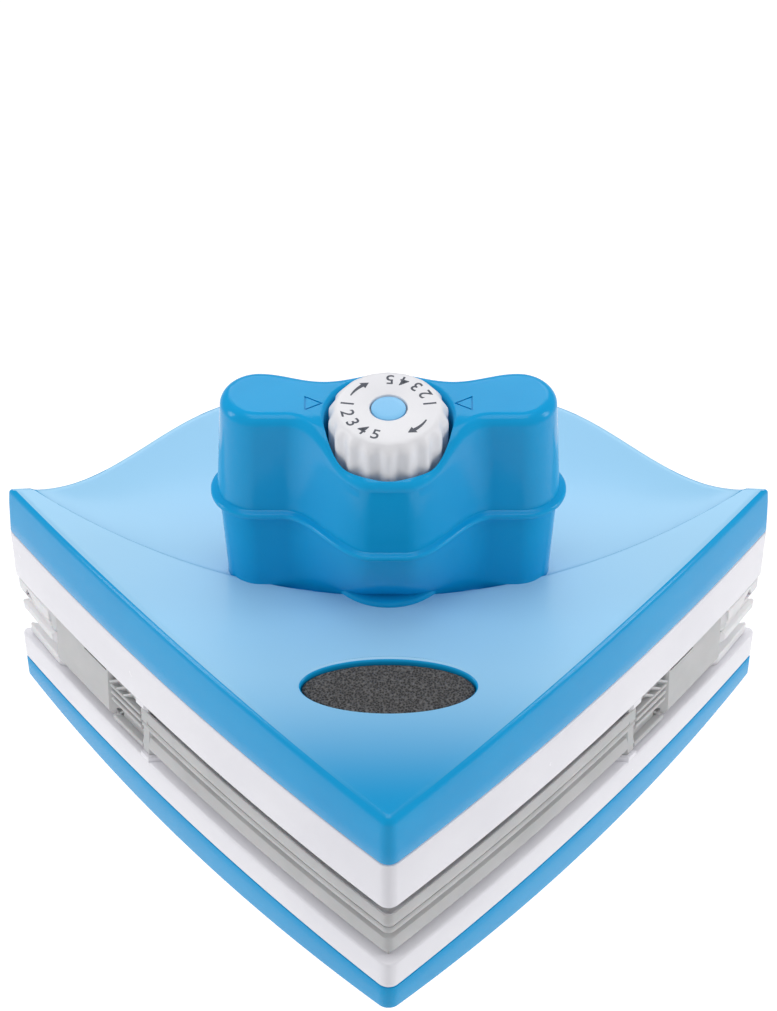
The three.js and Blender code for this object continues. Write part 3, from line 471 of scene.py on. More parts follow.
class Nodes:
    """Short names for building a material's node tree."""

    def __init__(self, name):
        self.material = bpy.data.materials.new(name)
        self.material.use_nodes = True
        self.tree = self.material.node_tree
        self.shader = self.tree.nodes["Principled BSDF"]
        self.place = self.add("ShaderNodeTexCoord").outputs["Object"]

    def add(self, kind, **inputs):
        node = self.tree.nodes.new(kind)
        for key, value in inputs.items():
            self.set(node, key.replace("_", " "), value)
        return node

    def set(self, node, key, value):
        socket = node.inputs[key]
        if isinstance(value, bpy.types.NodeSocket):
            self.tree.links.new(value, socket)
        else:
            socket.default_value = value

    def noise(self, scale, detail=3, roughness=0.5):
        node = self.add("ShaderNodeTexNoise", Scale=scale, Detail=detail, Roughness=roughness)
        self.set(node, "Vector", self.place)
        return node.outputs["Fac"]

    def ramp(self, value, low, high, start=0.3, end=0.7):
        node = self.add("ShaderNodeValToRGB")
        node.color_ramp.elements[0].position, node.color_ramp.elements[1].position = start, end
        node.color_ramp.elements[0].color, node.color_ramp.elements[1].color = low, high
        self.set(node, "Fac", value)
        return node.outputs["Color"]

    def span(self, value, low, high):
        node = self.add("ShaderNodeMapRange")
        self.set(node, "Value", value)
        self.set(node, "To Min", low)
        self.set(node, "To Max", high)
        return node.outputs["Result"]

    def bump(self, height, strength, distance, normal=None):
        node = self.add("ShaderNodeBump", Strength=strength, Distance=distance)
        self.set(node, "Height", height)
        if normal is not None:
            self.set(node, "Normal", normal)
        return node.outputs["Normal"]

    def finish(self, **inputs):
        for key, value in inputs.items():
            self.set(self.shader, key.replace("_", " "), value)
        return self.material


def glossy(n, tone, roughness, specular):
    """Finishes a moulded plastic with uneven polish and a fine orange peel."""
    polish = n.span(n.noise(120, 5, 0.6), roughness * 0.85, roughness * 1.2)
    normal = n.bump(n.noise(900, 2), 0.03, 0.0002)
    return n.finish(Base_Color=tone, Roughness=polish, Normal=normal, Specular_IOR_Level=specular, IOR=1.5)


def moulded_plastic(name, colour, deeper, roughness, specular=0.5):
    """Glossy plastic with faint flow mottling between two tones."""
    n = Nodes(name)
    tone = n.ramp(n.noise(38, 4), linear(*deeper), linear(*colour), 0.25, 0.6)
    return glossy(n, tone, roughness, specular)


def faded_plastic(name, pale, deep, roughness, specular):
    """The cover's face: the shell's blue at the front corner, turned pale blue towards its middle by a
    painted reflection.
    """
    n = Nodes(name)
    parts = n.add("ShaderNodeSeparateXYZ")
    n.set(parts, "Vector", n.place)
    share = n.add("ShaderNodeMapRange")
    share.interpolation_type = "SMOOTHSTEP"
    n.set(share, "Value", parts.outputs["Y"])
    n.set(share, "From Min", PAINTED_REFLECTION_START_Y * MM)
    n.set(share, "From Max", PAINTED_REFLECTION_END_Y * MM)
    # painted reflection: the tone goes from the shell's blue at the front to pale blue further back
    tone = n.ramp(share.outputs["Result"], linear(*deep), linear(*pale), 0.0, 1.0)
    return glossy(n, tone, roughness, specular)


def silicone(name, colour, deeper):
    """Milky translucent rubber with a slight cloudiness."""
    n = Nodes(name)
    tone = n.ramp(n.noise(90, 4), linear(*deeper), linear(*colour))
    normal = n.bump(n.noise(1400, 3), 0.08, 0.0002)
    polish = n.span(n.noise(200), 0.304, 0.475)
    return n.finish(Base_Color=tone, Roughness=polish, Normal=normal, Subsurface_Weight=0.1,
                    Subsurface_Scale=0.001, IOR=1.41)


def plated_metal(name, colour, roughness, grain):
    """Bare or plated metal with fine streaks along X; grain is how much narrower they are than long."""
    n = Nodes(name)
    stretched = n.add("ShaderNodeMapping")
    n.set(stretched, "Vector", n.place)
    n.set(stretched, "Scale", (1, grain, grain))
    streaks = n.add("ShaderNodeTexNoise", Scale=400.0, Detail=4.0)
    n.set(streaks, "Vector", stretched.outputs["Vector"])
    tone = n.ramp(n.noise(60), linear(*[c * 0.86 for c in colour]), linear(*colour))
    polish = n.span(streaks.outputs["Fac"], roughness * 0.7, roughness * 1.4)
    normal = n.bump(streaks.outputs["Fac"], 0.05, 0.0001)
    return n.finish(Base_Color=tone, Metallic=1.0, Roughness=polish, Normal=normal)


def fleece(name):
    """Short-pile microfibre: tufts, fine fibre noise and sheen."""
    n = Nodes(name)
    cells = n.add("ShaderNodeTexVoronoi", Scale=900.0)
    n.set(cells, "Vector", n.place)
    tone = n.ramp(cells.outputs["Distance"], linear(246, 248, 252), linear(205, 212, 222), 0.0, 0.8)
    pile = n.bump(cells.outputs["Distance"], 0.6, 0.0008)
    fibre = n.bump(n.noise(5200, 4, 0.7), 0.35, 0.0003, pile)
    return n.finish(Base_Color=tone, Roughness=0.95, Normal=fibre, Sheen_Weight=0.5, Sheen_Roughness=0.4)


def open_foam(name):
    """Charcoal open-cell foam: painted shade darkens its pores, where the bump is low, between paler,
    slightly warm strands.
    """
    n = Nodes(name)
    cells = n.add("ShaderNodeTexVoronoi", Scale=2100.0, Randomness=1.0)
    n.set(cells, "Vector", n.place)
    grit = n.noise(3800, 5, 0.75)
    pore_shade_and_grit = n.add("ShaderNodeMath")
    pore_shade_and_grit.operation = "MULTIPLY"
    n.tree.links.new(cells.outputs["Distance"], pore_shade_and_grit.inputs[0])
    n.tree.links.new(grit, pore_shade_and_grit.inputs[1])
    # painted shade: the tone darkens where the pore bump and the grit are low
    tone = n.ramp(pore_shade_and_grit.outputs["Value"], linear(52, 50, 50), linear(122, 119, 117), 0.1, 0.45)
    pores = n.bump(cells.outputs["Distance"], 0.8, 0.0006)
    return n.finish(Base_Color=tone, Roughness=0.98, Normal=n.bump(grit, 0.6, 0.0004, pores))


PAINTED_REFLECTION_START_Y, PAINTED_REFLECTION_END_Y = -62, -24     # the painted reflection on the cover's face turns it from deep to pale blue between these lines
BLUE = moulded_plastic("blue shell", (16, 160, 220), (10, 154, 215), 0.16, 0.18)
# the cover face's pale blue is a painted reflection laid over the shell's blue
PLATE_BLUE_PAINTED_REFLECTION = faded_plastic("cover face painted reflection", (158, 210, 243), (22, 157, 216), 0.22, 0.25)
WHITE = moulded_plastic("white shell", (236, 235, 241), (230, 229, 236), 0.25, 0.35)
KNOB_WHITE = moulded_plastic("dial white", (232, 232, 236), (224, 224, 229), 0.34, 0.3)
BADGE = moulded_plastic("badge blue", (128, 196, 240), (120, 190, 236), 0.3, 0.4)
PRINT = moulded_plastic("dial print", (84, 88, 98), (76, 80, 90), 0.5, 0.3)
RUBBER = silicone("blade silicone", (194, 194, 195), (182, 183, 184))
CLEAR = silicone("clear silicone", (232, 232, 234), (224, 224, 227))
FLEECE = fleece("wiping fleece")
FOAM_PAINTED_PORE_SHADE = open_foam("sponge foam")
STEEL = plated_metal("zinc plated steel", (186, 190, 196), 0.32, 8)
YOKE = plated_metal("rolled yoke steel", (150, 156, 162), 0.4, 20)
NICKEL = plated_metal("nickel plated magnet", (200, 202, 205), 0.2, 3)
ACETAL = moulded_plastic("natural acetal", (226, 225, 219), (214, 213, 206), 0.42)
SLOT_MATERIALS = {
    "blue_shell": BLUE, "white_shell": WHITE, "knob_white": KNOB_WHITE, "badge_blue": BADGE,
    "soft_rubber": RUBBER, "wiping_fleece": FLEECE, "dark_sponge": FOAM_PAINTED_PORE_SHADE, "fastener_steel": STEEL,
    "yoke_steel": YOKE, "magnet_nickel": NICKEL, "carrier_plastic": ACETAL,
}


def place(obj, body, material, slot, *nodes):
    """Gives a finished piece its material and its body, and hides the CAD nodes it stands for."""
    obj.data.materials.clear()
    obj.data.materials.append(material)
    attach(obj, body)
    if nodes:
        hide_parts(*nodes)
    return obj


# ---------------------------------------------------------------- covers and bases
SPONGE_X, SPONGE_Y = 0, -29.6
SPONGE_RX, SPONGE_RY = 18.5, 7.4
FACE_LEAST_Z = 70               # only the top of the outer cover is above this
FACE_LEAST_UP = 0.86            # upward part of a face's normal; the rounded arris is below this
BASE_RADII = [0, 0.8, 0.5, 0.7, 0.5, 0.4, 0.5, 0.5, 0.5, 0]


def even_rows(count):
    """Rows for domed_shell that divide each column into equal lengths."""
    def rows(x, front, back):
        return (front + (back - front) * np.linspace(0, 1, count)[:, None]).T
    return rows


def cover_rows(x, front, back):
    """Rows in front of the crease, close rows over its step, then rows over the hollow."""
    crease = np.clip(crease_y(x), front, back)
    near = np.linspace(0, 1, 46)[:, None]
    plate = front + (crease - front) * near
    step = np.minimum(crease + np.linspace(0, STEP_RUN, 7)[1:, None], back)
    start = step[-1]
    hollow = start + (back - start) * np.linspace(0, 1, 46)[1:, None]
    return np.concatenate([plate, step, hollow]).T


def arris_rings(radius, height, lean=0.0, steps=7):
    """Rings of the body outline that round the top edge of a cover whose wall stands in by lean there."""
    rings = []
    for angle in np.linspace(0, math.pi / 2, steps)[1:]:
        inset = lean + radius * (1 - math.sin(angle))
        drop = radius * (1 - math.cos(angle))
        rings.append((dense_body(inset), lambda x, y, d=drop: height(x, y) - d))
    return rings


def dense_body(inset):
    return mirrored(body_half(inset, DENSE))


def make_outer_cover():
    radius, lean = 2, cover_inset(RIM_Z)
    shares = column_shares(WIDTH / 2 - radius - lean, 3, 130)
    low = HIGH_SEAM_Z + GAP / 2
    heights = [low + 9, low + 4, low + 0.35]
    wall = arris_rings(radius, cover_z, lean) + [(dense_body(cover_inset(z)), z) for z in heights]
    wall += [(dense_body(0.1), low + 0.1), (dense_body(0.35), low)]
    inside = [(dense_body(WALL), low), (dense_body(WALL), low + 9)]
    top = dense_body(radius + lean)
    cover = domed_shell("outer_cover_shell", top, shares, cover_z, cover_rows, wall, inside)
    rim = plate_z(SPONGE_Y)
    flare = [(0, -0.7), (0.08, -0.35), (0.35, -0.08), (0.9, 0.12), (0.9, 3)]
    levels = [(SPONGE_RX, low - 5)] + [(SPONGE_RX + grow, rim + above) for grow, above in flare]
    boolean(cover, round_tool(levels, (SPONGE_X, SPONGE_Y), 128, SPONGE_RX - SPONGE_RY))
    place(cover, "outer_unit", BLUE, "blue_shell", "outer_cover")
    cover.data.materials.append(PLATE_BLUE_PAINTED_REFLECTION)
    # the upward faces of the cover's top take the material with the painted reflection
    for face in cover.data.polygons:
        takes_painted_reflection = face.normal.z > FACE_LEAST_UP and face.center.z > FACE_LEAST_Z * MM
        face.material_index = 1 if takes_painted_reflection else 0


def make_inner_cover():
    radius = 1
    shares = column_shares(WIDTH / 2 - radius, 3, 110)

    def height(x, y):
        return -underside_z(y)

    low = -(LOW_SEAM_Z - GAP / 2)
    wall = arris_rings(radius, height) + [
        (dense_body(0), low + 3), (dense_body(0), low + 0.5), (dense_body(0.12), low + 0.14),
        (dense_body(0.5), low),
    ]
    inside = [(dense_body(WALL), low), (dense_body(WALL), low + 4)]
    top = dense_body(radius)
    cover = domed_shell("inner_cover_shell", top, shares, height, even_rows(60), wall, inside, flip=True)
    place(cover, "inner_unit", BLUE, "blue_shell", "inner_cover")


def make_base(unit, face, flange, seam, way):
    """A white shell: its wall, its flange and the edge of its raised face; way is 1 for the upper shell."""
    inner_face, inner_flange = face + FLOOR * way, flange + FLOOR * way
    profile = [
        (PLATEAU_INSET + 6, face), (PLATEAU_INSET, face), (PLATEAU_INSET, flange), (0, flange), (0, seam),
        (WALL, seam), (WALL, inner_flange), (PLATEAU_INSET + WALL, inner_flange),
        (PLATEAU_INSET + WALL, inner_face), (PLATEAU_INSET + 6, inner_face),
    ]
    base = outline_shell(f"{unit}_base_shell", profile, BASE_RADII)
    place(base, f"{unit}_unit", WHITE, "white_shell", f"{unit}_base")


# ---------------------------------------------------------------- handle and grip
RECESS_RADIUS = 13.3
RECESS_Z = HANDLE_TOP_Z - 15
POINTER_X, POINTER_Y = 16.1, 4.6
FOOT_Z = 78.2
FOOT_Y = 6.7                    # centre of the low round nose in front of the handle
GRIP_STEPS = 80


def make_handle_cap():
    radius = 2.4

    def ring(z, grow):
        rise = (z - BEAD_Z) / (HANDLE_TOP_Z - BEAD_Z)
        bulge = BEAD_BULGE + (BULGE - BEAD_BULGE) * rise
        return handle_ring(grow, bulge, CAP_DRAFT + (1 - CAP_DRAFT) * rise, 120)

    wall = []
    for angle in np.linspace(0, math.pi / 2, 9)[1:]:
        drop = radius * (1 - math.cos(angle))
        outline = ring(HANDLE_TOP_Z - drop, 0.2 - radius * (1 - math.sin(angle)))
        wall.append((outline, lambda x, y, d=drop: handle_top_z(x, y) - d))
    neck = BEAD_Z + 2.3
    heights = np.linspace(HANDLE_TOP_Z - 7.6, neck, 8)
    wall += [(ring(z, 0.2), float(z)) for z in heights]
    bead = [
        (neck - 0.3, 0.24), (neck - 0.45, 0.45), (neck - 0.55, 0.9), (neck - 0.65, 1.2), (neck - 0.8, 1.42),
        (neck - 1.05, 1.55), (BEAD_Z + 0.8, 1.55), (BEAD_Z + 0.45, 1.45), (BEAD_Z + 0.15, 1.2), (BEAD_Z, 0.8),
    ]
    wall += [(ring(z, grow), z) for z, grow in bead]
    inside = [(ring(BEAD_Z, -2.2), BEAD_Z), (ring(BEAD_Z + 4, -2.2), BEAD_Z + 4)]
    top, shares = ring(HANDLE_TOP_Z, 0.2 - radius), column_shares(35, 3, 90)
    cap = domed_shell("handle_cap_shell", top, shares, handle_top_z, even_rows(50), wall, inside)
    rim = HANDLE_TOP_Z
    flare = [(0, -0.9), (0.12, -0.5), (0.45, -0.12), (1.1, 0.1), (1.1, 4)]
    levels = [(RECESS_RADIUS, RECESS_Z)] + [(RECESS_RADIUS + grow, rim + above) for grow, above in flare]
    boolean(cap, round_tool(levels))
    for side in (-1, 1):
        boolean(cap, pointer_tool(side))
    place(cap, "outer_unit", BLUE, "blue_shell", "handle_cap")


def pointer_tool(side):
    """Cutter for the outline of a small triangle beside the recess that points at the dial."""
    size, line, depth = 2.6, 0.32, 0.35
    centre = np.array([side * POINTER_X, POINTER_Y])
    angles = np.array([0, 2, 4]) * math.pi / 3 + (math.pi if side > 0 else 0)
    outer = centre + size * np.stack([np.cos(angles), np.sin(angles)], axis=1)
    inner = centre + (size - 2 * line) * np.stack([np.cos(angles), np.sin(angles)], axis=1)
    low, high = HANDLE_TOP_Z - depth, HANDLE_TOP_Z + 1
    rings = [at_level(outer, low), at_level(outer, high), at_level(inner, high), at_level(inner, low)]
    return rings_to_mesh("tool", rings, closed=True)


def make_handle_base():
    start = PLATE_Z + 0.4

    def ring(z, grow):
        rise = min(max((z - start) / (BEAD_Z - start), 0), 1)
        bulge = FOOT_BULGE + (BEAD_BULGE - 0.2 - FOOT_BULGE) * (rise * (2 - rise) * 0.6 + rise * 0.4)
        stretch = FOOT_STRETCH + (NECK_STRETCH - FOOT_STRETCH) * rise
        return handle_ring(0.6 * rise - 0.5 + grow, bulge, stretch, 90)

    heights = [FOOT_Z, start - 0.6] + list(np.linspace(start, BEAD_Z - GAP, 26))
    rings = [at_level(ring(z, 0), z) for z in heights]
    rings += [at_level(ring(BEAD_Z, -2.2), BEAD_Z - GAP), at_level(ring(BEAD_Z, -2.2), BEAD_Z - 6)]
    base = rings_to_mesh("handle_base_shell", rings)
    place(base, "outer_unit", BLUE, "blue_shell", "handle_base")
    levels = [(13.8, -1.5), (13.8, 0.5), (13.65, 0.85), (13.3, 1.05), (12.6, 1.1)]
    rings = []
    for radius, above in levels:
        circle = arc((0, FOOT_Y), radius, 0, 2 * math.pi, 160)[:-1]
        rings.append(at_level(circle, PLATE_Z + above))
    nose = rings_to_mesh("handle_foot", rings)
    trim = new_box("tool", (-20, 20), (-1, 30), (70, 90))
    boolean(nose, trim)
    place(nose, "outer_unit", BLUE, "blue_shell")


def new_box(name, xs, ys, zs):
    points = [(x, y, z) for z in zs for y in ys for x in xs]
    faces = [(0, 1, 3, 2), (4, 5, 7, 6), (0, 1, 5, 4), (2, 3, 7, 6), (0, 2, 6, 4), (1, 3, 7, 5)]
    return new_object(name, points, faces)


def make_inner_grip():
    bulge = BULGE - 3
    section = fillet([(-9, 0), (0.9, 0), (1.4, 6), (1.9, 17)], [0, 1.4, 0.5, 0], 8)
    rings = [at_level(handle_ring(-4, bulge, 1.0, GRIP_STEPS), 0)]
    for grow, z in section[1:]:
        ring = handle_ring(grow, bulge, 1.0, GRIP_STEPS)
        rings.append(np.column_stack([ring, np.minimum(z, underside_z(ring[:, 1]) + 0.6)]))
    grip = rings_to_mesh("inner_grip_shell", rings)
    place(grip, "inner_unit", BLUE, "blue_shell", "inner_grip")


# ---------------------------------------------------------------- dial
SCALLOPS = 18
KNOB_RADIUS = 12.5
BADGE_RADIUS = 3.6
DIGIT_STARTS = (172, 8)         # degrees, of the figure 1 in each of the two rows
DIGIT_STEP = 20
DIGIT_RADIUS = 8.7
DIGIT_SIZE = 3.9
ARROW_RADIUS = 8.6
ARROW_START, ARROW_END, ARROW_TURN = 155, 129, 179      # degrees


def scalloped(radius, depth, z, per=18):
    angles = np.linspace(0, 2 * math.pi, SCALLOPS * per, endpoint=False)
    wave = (1 - np.cos(SCALLOPS * (angles - math.pi / 2))) / 2
    reach = radius - depth * wave
    return np.stack([reach * np.cos(angles), reach * np.sin(angles), np.full(len(angles), float(z))], axis=1)


def make_knob():
    top, low = KNOB_TOP_Z, KNOB_LOW_Z
    levels = [
        (3.9, 0, top - 1.6), (3.9, 0, top - 0.25), (4.02, 0, top - 0.06), (4.3, 0, top), (10.2, 0, top),
        (10.75, 0.02, top - 0.05), (11.2, 0.1, top - 0.35), (11.75, 0.35, top - 1.05),
        (12.2, 0.62, top - 1.75), (12.42, 0.7, top - 2.2), (KNOB_RADIUS, 0.72, top - 2.9),
        (KNOB_RADIUS, 0.72, low + 1.2),
        (12.35, 0.7, low + 0.5), (12.0, 0.6, low),
    ]
    knob = rings_to_mesh("dial_knob", [scalloped(*level) for level in levels], 44)
    place(knob, "dial", KNOB_WHITE, "knob_white", "knob")


def make_badge():
    top = KNOB_TOP_Z - 0.1
    edge = [(BADGE_RADIUS, 1.3), (BADGE_RADIUS, 0.3), (3.5, 0.1), (3.25, 0.02), (2.4, 0)]
    badge = round_tool([(radius, top - drop) for radius, drop in edge], sides=72)
    badge.name = "dial_badge"
    place(badge, "dial", BADGE, "badge_blue", "knob_badge")


def make_digits():
    """The settings 1 to 5, printed twice with their tops towards the centre."""
    for half in (0, 1):
        for number in range(1, 6):
            angle = math.radians(DIGIT_STARTS[half] + DIGIT_STEP * (number - 1))
            curve = bpy.data.curves.new("digit", "FONT")
            curve.body = str(number)
            curve.align_x, curve.align_y = "CENTER", "CENTER"
            curve.size, curve.extrude, curve.offset = DIGIT_SIZE * MM, 0.03 * MM, 0.04 * MM
            text = bpy.data.objects.new("digit", curve)
            bpy.context.scene.collection.objects.link(text)
            reach = DIGIT_RADIUS * MM
            text.location = (reach * math.cos(angle), reach * math.sin(angle), KNOB_TOP_Z * MM)
            text.rotation_euler = (0, 0, angle + math.pi / 2)
            bpy.context.view_layer.update()
            mesh = bpy.data.meshes.new_from_object(text.evaluated_get(bpy.context.evaluated_depsgraph_get()))
            mesh.transform(text.matrix_world)
            bpy.data.objects.remove(text)
            digit = bpy.data.objects.new(f"dial_digit_{number}_{'ab'[half]}", mesh)
            bpy.context.scene.collection.objects.link(digit)
            place(digit, "dial", PRINT, "knob_white")


def make_arrows():
    """Two bent arrows printed on the dial, between the rows of figures."""
    for half, name in enumerate(("a", "b")):
        start = math.radians(ARROW_START + ARROW_TURN * half)
        end = math.radians(ARROW_END + ARROW_TURN * half)
        turns = np.linspace(start, end, 14)
        width = np.linspace(0.15, 0.42, 14)
        body = end - start
        outer = [(ARROW_RADIUS + w, t) for w, t in zip(width, turns)]
        head = [(ARROW_RADIUS + 1, end), (ARROW_RADIUS, end + body * 0.42), (ARROW_RADIUS - 1, end)]
        inner = [(ARROW_RADIUS - w, t) for w, t in zip(width, turns)][::-1]
        flat = np.array([(r * math.cos(t), r * math.sin(t)) for r, t in outer + head + inner])
        rings = [at_level(flat, KNOB_TOP_Z + z) for z in (-0.02, 0.03)]
        arrow = rings_to_mesh(f"dial_arrow_{name}", rings)
        place(arrow, "dial", PRINT, "knob_white")


# ---------------------------------------------------------------- rubber strips
BLADE_END = 0.63
RIB_END = 0.725
BLOCK_END = 0.895
LAP = 0.004


def runs(start, end, count, side=1):
    return np.sort(np.linspace(start, end, count) * side)


def blade_runs():
    side = np.linspace(0.02, BLADE_END - LAP, 60)
    return np.concatenate([-side[::-1], np.linspace(-0.018, 0.018, 13), side])


def make_blades():
    """The two long blades, each with a lip, a groove and an upright at both ends."""
    g = GLASS_Z
    outer = [
        (6.1, 50.4), (4.8, 50.4), (4.8, 45.7), (1.9, 45.7), (1.5, 47.4), (1, 47.4), (0.95, 44.6),
        (1.2, g + 0.15), (3.6, g + 0.15), (4.8, 44.7), (6.1, 44.7),
    ]
    inner = [
        (6.1, 31.9), (2.6, 31.9), (2.6, 34.6), (1.2, 35), (0.75, 35.4), (0.8, 36.2), (1.25, 39), (2.8, 39.4),
        (2.8, 40.6), (1.1, 41.2), (0.95, 41.6), (0.95, 42.4), (1.2, g - 0.15), (3.6, g - 0.15), (4.4, 36.6),
        (6.1, 36.6),
    ]
    posts = {"outer": (g + 0.3, 49.2, 0.9), "inner": (33, g - 0.3, 0.8)}
    for unit, profile in (("outer", outer), ("inner", inner)):
        parts = [strip("part", profile, blade_runs(), 0.2)]
        low, high, face = posts[unit]
        post = [(5, high), (face + 0.4, high), (face, low + 0.6), (face, low), (5, low)]
        for side in (-1, 1):
            parts.append(strip("part", post, runs(BLADE_END - 0.02, BLADE_END - LAP, 4, side), 0.3))
        blade = join_parts(f"{unit}_blade_strip", parts)
        place(blade, f"{unit}_unit", RUBBER, "soft_rubber", f"{unit}_blade")


def join_parts(name, parts):
    """One piece from several closed parts."""
    work = bmesh.new()
    for part in parts:
        work.from_mesh(part.data)
        bpy.data.objects.remove(part)
    mesh = bpy.data.meshes.new(name)
    work.to_mesh(mesh)
    work.free()
    obj = bpy.data.objects.new(name, mesh)
    bpy.context.scene.collection.objects.link(obj)
    shade(obj, 40)
    return obj


def make_side_strips(side, word):
    """The soft pieces between one long blade and its side tip."""
    block = [
        (6.1, 50.4), (1.5, 50.4), (1.2, 47.6), (0.9, 35), (1.2, 34.2), (2, 34.2), (2, 36.2), (3.1, 36.2),
        (3.1, 44), (6.1, 44),
    ]
    piece = strip("tool", block, runs(RIB_END + LAP, BLOCK_END - LAP, 24, side), 0.4)
    slit = strip("tool", [(7, 49.6), (0.5, 49.6), (0.5, 47.9), (7, 47.9)],
                 runs(RIB_END + 0.01, RIB_END + 0.08, 8, side), 0.1)
    boolean(piece, slit)
    piece.name = f"outer_seal_block_{word}_soft"
    place(piece, "outer_unit", RUBBER, "soft_rubber", f"outer_seal_block_{word}")
    lip = [(6.1, 31.9), (2.6, 31.9), (2.6, 34.6), (3.6, 35.6), (3.6, 42.8), (6.1, 42.8)]
    piece = strip(f"inner_lip_{word}_soft", lip, runs(RIB_END + LAP, BLOCK_END - LAP, 24, side))
    place(piece, "inner_unit", RUBBER, "soft_rubber", f"inner_lip_{word}")
    make_rib_joint("outer", side, word)
    make_rib_joint("inner", side, word)
    make_corner_tabs(side, word)
    make_shell_teeth(side, word)


SIDE_LENGTH = 133               # from the front corner to a tip, along the wall
FIN_SLOPE = math.tan(math.radians(43))


def slanting_fin(side, start, low, rise, inset):
    """A thin rib that climbs towards the front corner."""
    end = start - rise / FIN_SLOPE / SIDE_LENGTH

    def climb(run, depth, z):
        return (0, (start - abs(run)) * SIDE_LENGTH * FIN_SLOPE)

    section = [(inset + 1.6, low + 0.35), (inset, low + 0.35), (inset, low - 0.35), (inset + 1.6, low - 0.35)]
    return strip("part", section, runs(end, start, 6, side), 0.15, climb)


def make_rib_joint(unit, side, word):
    """Ribbed piece beside the long blade: slanting fins above two rails on the outer unit, and a rail, a deep
    groove and a ledge on the inner unit."""
    g = GLASS_Z
    whole = runs(BLADE_END + LAP, RIB_END - LAP, 16, side)
    if unit == "outer":
        web = [(6.1, 50.4), (2, 50.4), (2.1, 46), (3.2, 45.8), (3.2, g + 0.2), (6.1, g + 0.2)]
        rails = [(43.9, 44.9)]
    else:
        web = [(6.1, g - 0.2), (2.6, g - 0.2), (2.8, 36.6), (2.6, 34.4), (3, 31.9), (6.1, 31.9)]
        rails = [(41.6, 42.7), (39.4, 40.4), (33, 34.6)]
    parts = [strip("part", web, whole, 0.15)]
    for bottom, top in rails:
        parts.append(strip("part", [(4, top), (1.1, top), (1.1, bottom), (4, bottom)], whole, 0.35))
    if unit == "outer":
        first = RIB_END - 0.004
        parts += [slanting_fin(side, first - 0.021 * k, 45.6, 3.4, 1) for k in range(3)]
    piece = join_parts(f"{unit}_rib_joint_{word}_soft", parts)
    place(piece, f"{unit}_unit", RUBBER, "soft_rubber", f"{unit}_rib_joint_{word}")


def make_shell_teeth(side, word):
    """Small teeth of the two white shells that grip the end of each blade."""
    for unit, flange, way in (("outer", HIGH_FLANGE_Z, 1), ("inner", LOW_FLANGE_Z, -1)):
        root, end = flange + 0.5 * way, flange - 1.4 * way
        profile = [(0.05, root), (3, root), (3, end), (0.05, end)]
        tooth = strip(f"{unit}_shell_tooth_{word}", profile, runs(0.606, 0.628, 6, side), 0.3)
        place(tooth, f"{unit}_unit", WHITE, "white_shell")


def make_corner_tabs(side, word):
    """Clear tabs round one side tip, with a window in the outer one."""
    around = np.concatenate([np.linspace(BLOCK_END + LAP, 0.999, 20), np.linspace(1, 1.016, 10)])
    around = np.sort(around * side)
    g = GLASS_Z
    outer = [
        (5.4, 50.4), (0.9, 50.4), (0.2, 49.6), (0.15, 46.6), (0.7, 46), (0.3, 45.4), (0.9, 44.8),
        (0.5, 44.2), (1.2, g + 0.2), (5.4, g + 0.2),
    ]
    inner = [
        (5.4, g - 0.2), (1.2, g - 0.2), (0.5, 42), (0.6, 39.6), (2.6, 38.8), (2.8, 35.4), (1.2, 34.8),
        (1.2, 31.9), (5.4, 31.9),
    ]
    for unit, profile in (("outer", outer), ("inner", inner)):
        def lift(run, inset, z, unit=unit):
            # the outer tab rises towards the tip, so a wedge opens below it
            share = smooth((abs(run) - BLOCK_END) / 0.1)
            near = np.clip(1 - (z - g) / 4, 0, 1)
            return (0.3 * share, 2 * share * near if unit == "outer" else 0)

        piece = strip("tool", profile, around, 0.3, lift)
        piece.name = f"{unit}_corner_tab_{word}_soft"
        if unit == "outer":
            boolean(piece, window_tool(side))
        place(piece, f"{unit}_unit", CLEAR, "soft_rubber", f"{unit}_corner_tab_{word}")


def window_tool(side):
    """Cutter for a three-cornered window through a tip tab, square to the tab's face."""
    start, further = edge_point(0, side * 0.988), edge_point(0, side * 0.978)
    along = (further - start) / np.linalg.norm(further - start)
    inward = np.array([along[1], -along[0]]) * side
    corners = [(0, 45.4), (4.5, 47.3), (1.8, 48.9)]
    rings = []
    for depth in (-6, 10):
        rings.append([(*(start + along * u + inward * depth), z) for u, z in corners])
    return rings_to_mesh("tool", rings)


# ---------------------------------------------------------------- soft pieces
def make_pad(unit):
    """A fleece pad with a soft rolled edge and a slightly uneven face."""
    low, high = z_range(f"{unit}_wiping_pad")
    middle, roll = (low + high) / 2, 1.3
    steps = []
    for angle in np.linspace(-math.pi / 2, math.pi / 2, 9):
        inset = PAD_INSET + roll * (1 - math.cos(angle))
        steps.append((inset, middle + (high - low) / 2 * math.sin(angle)))
    shrink = [PAD_INSET + roll + 2.4 * k for k in range(1, 12)]
    section = [(inset, low) for inset in shrink[::-1]] + steps + [(inset, high) for inset in shrink]
    rings = []
    for inset, z in section:
        ring = at_level(body_ring(inset), z)
        outward = 1 if z > middle else -1
        worn = 0.13 * np.sign(z - middle)
        for point in ring:
            wave = noise.noise(Vector(point) * 0.45)
            point[2] += 0.12 * wave * outward - worn
        rings.append(ring)
    pad = rings_to_mesh(f"{unit}_pad_fleece", rings, 60)
    place(pad, f"{unit}_unit", FLEECE, "wiping_fleece", f"{unit}_wiping_pad")


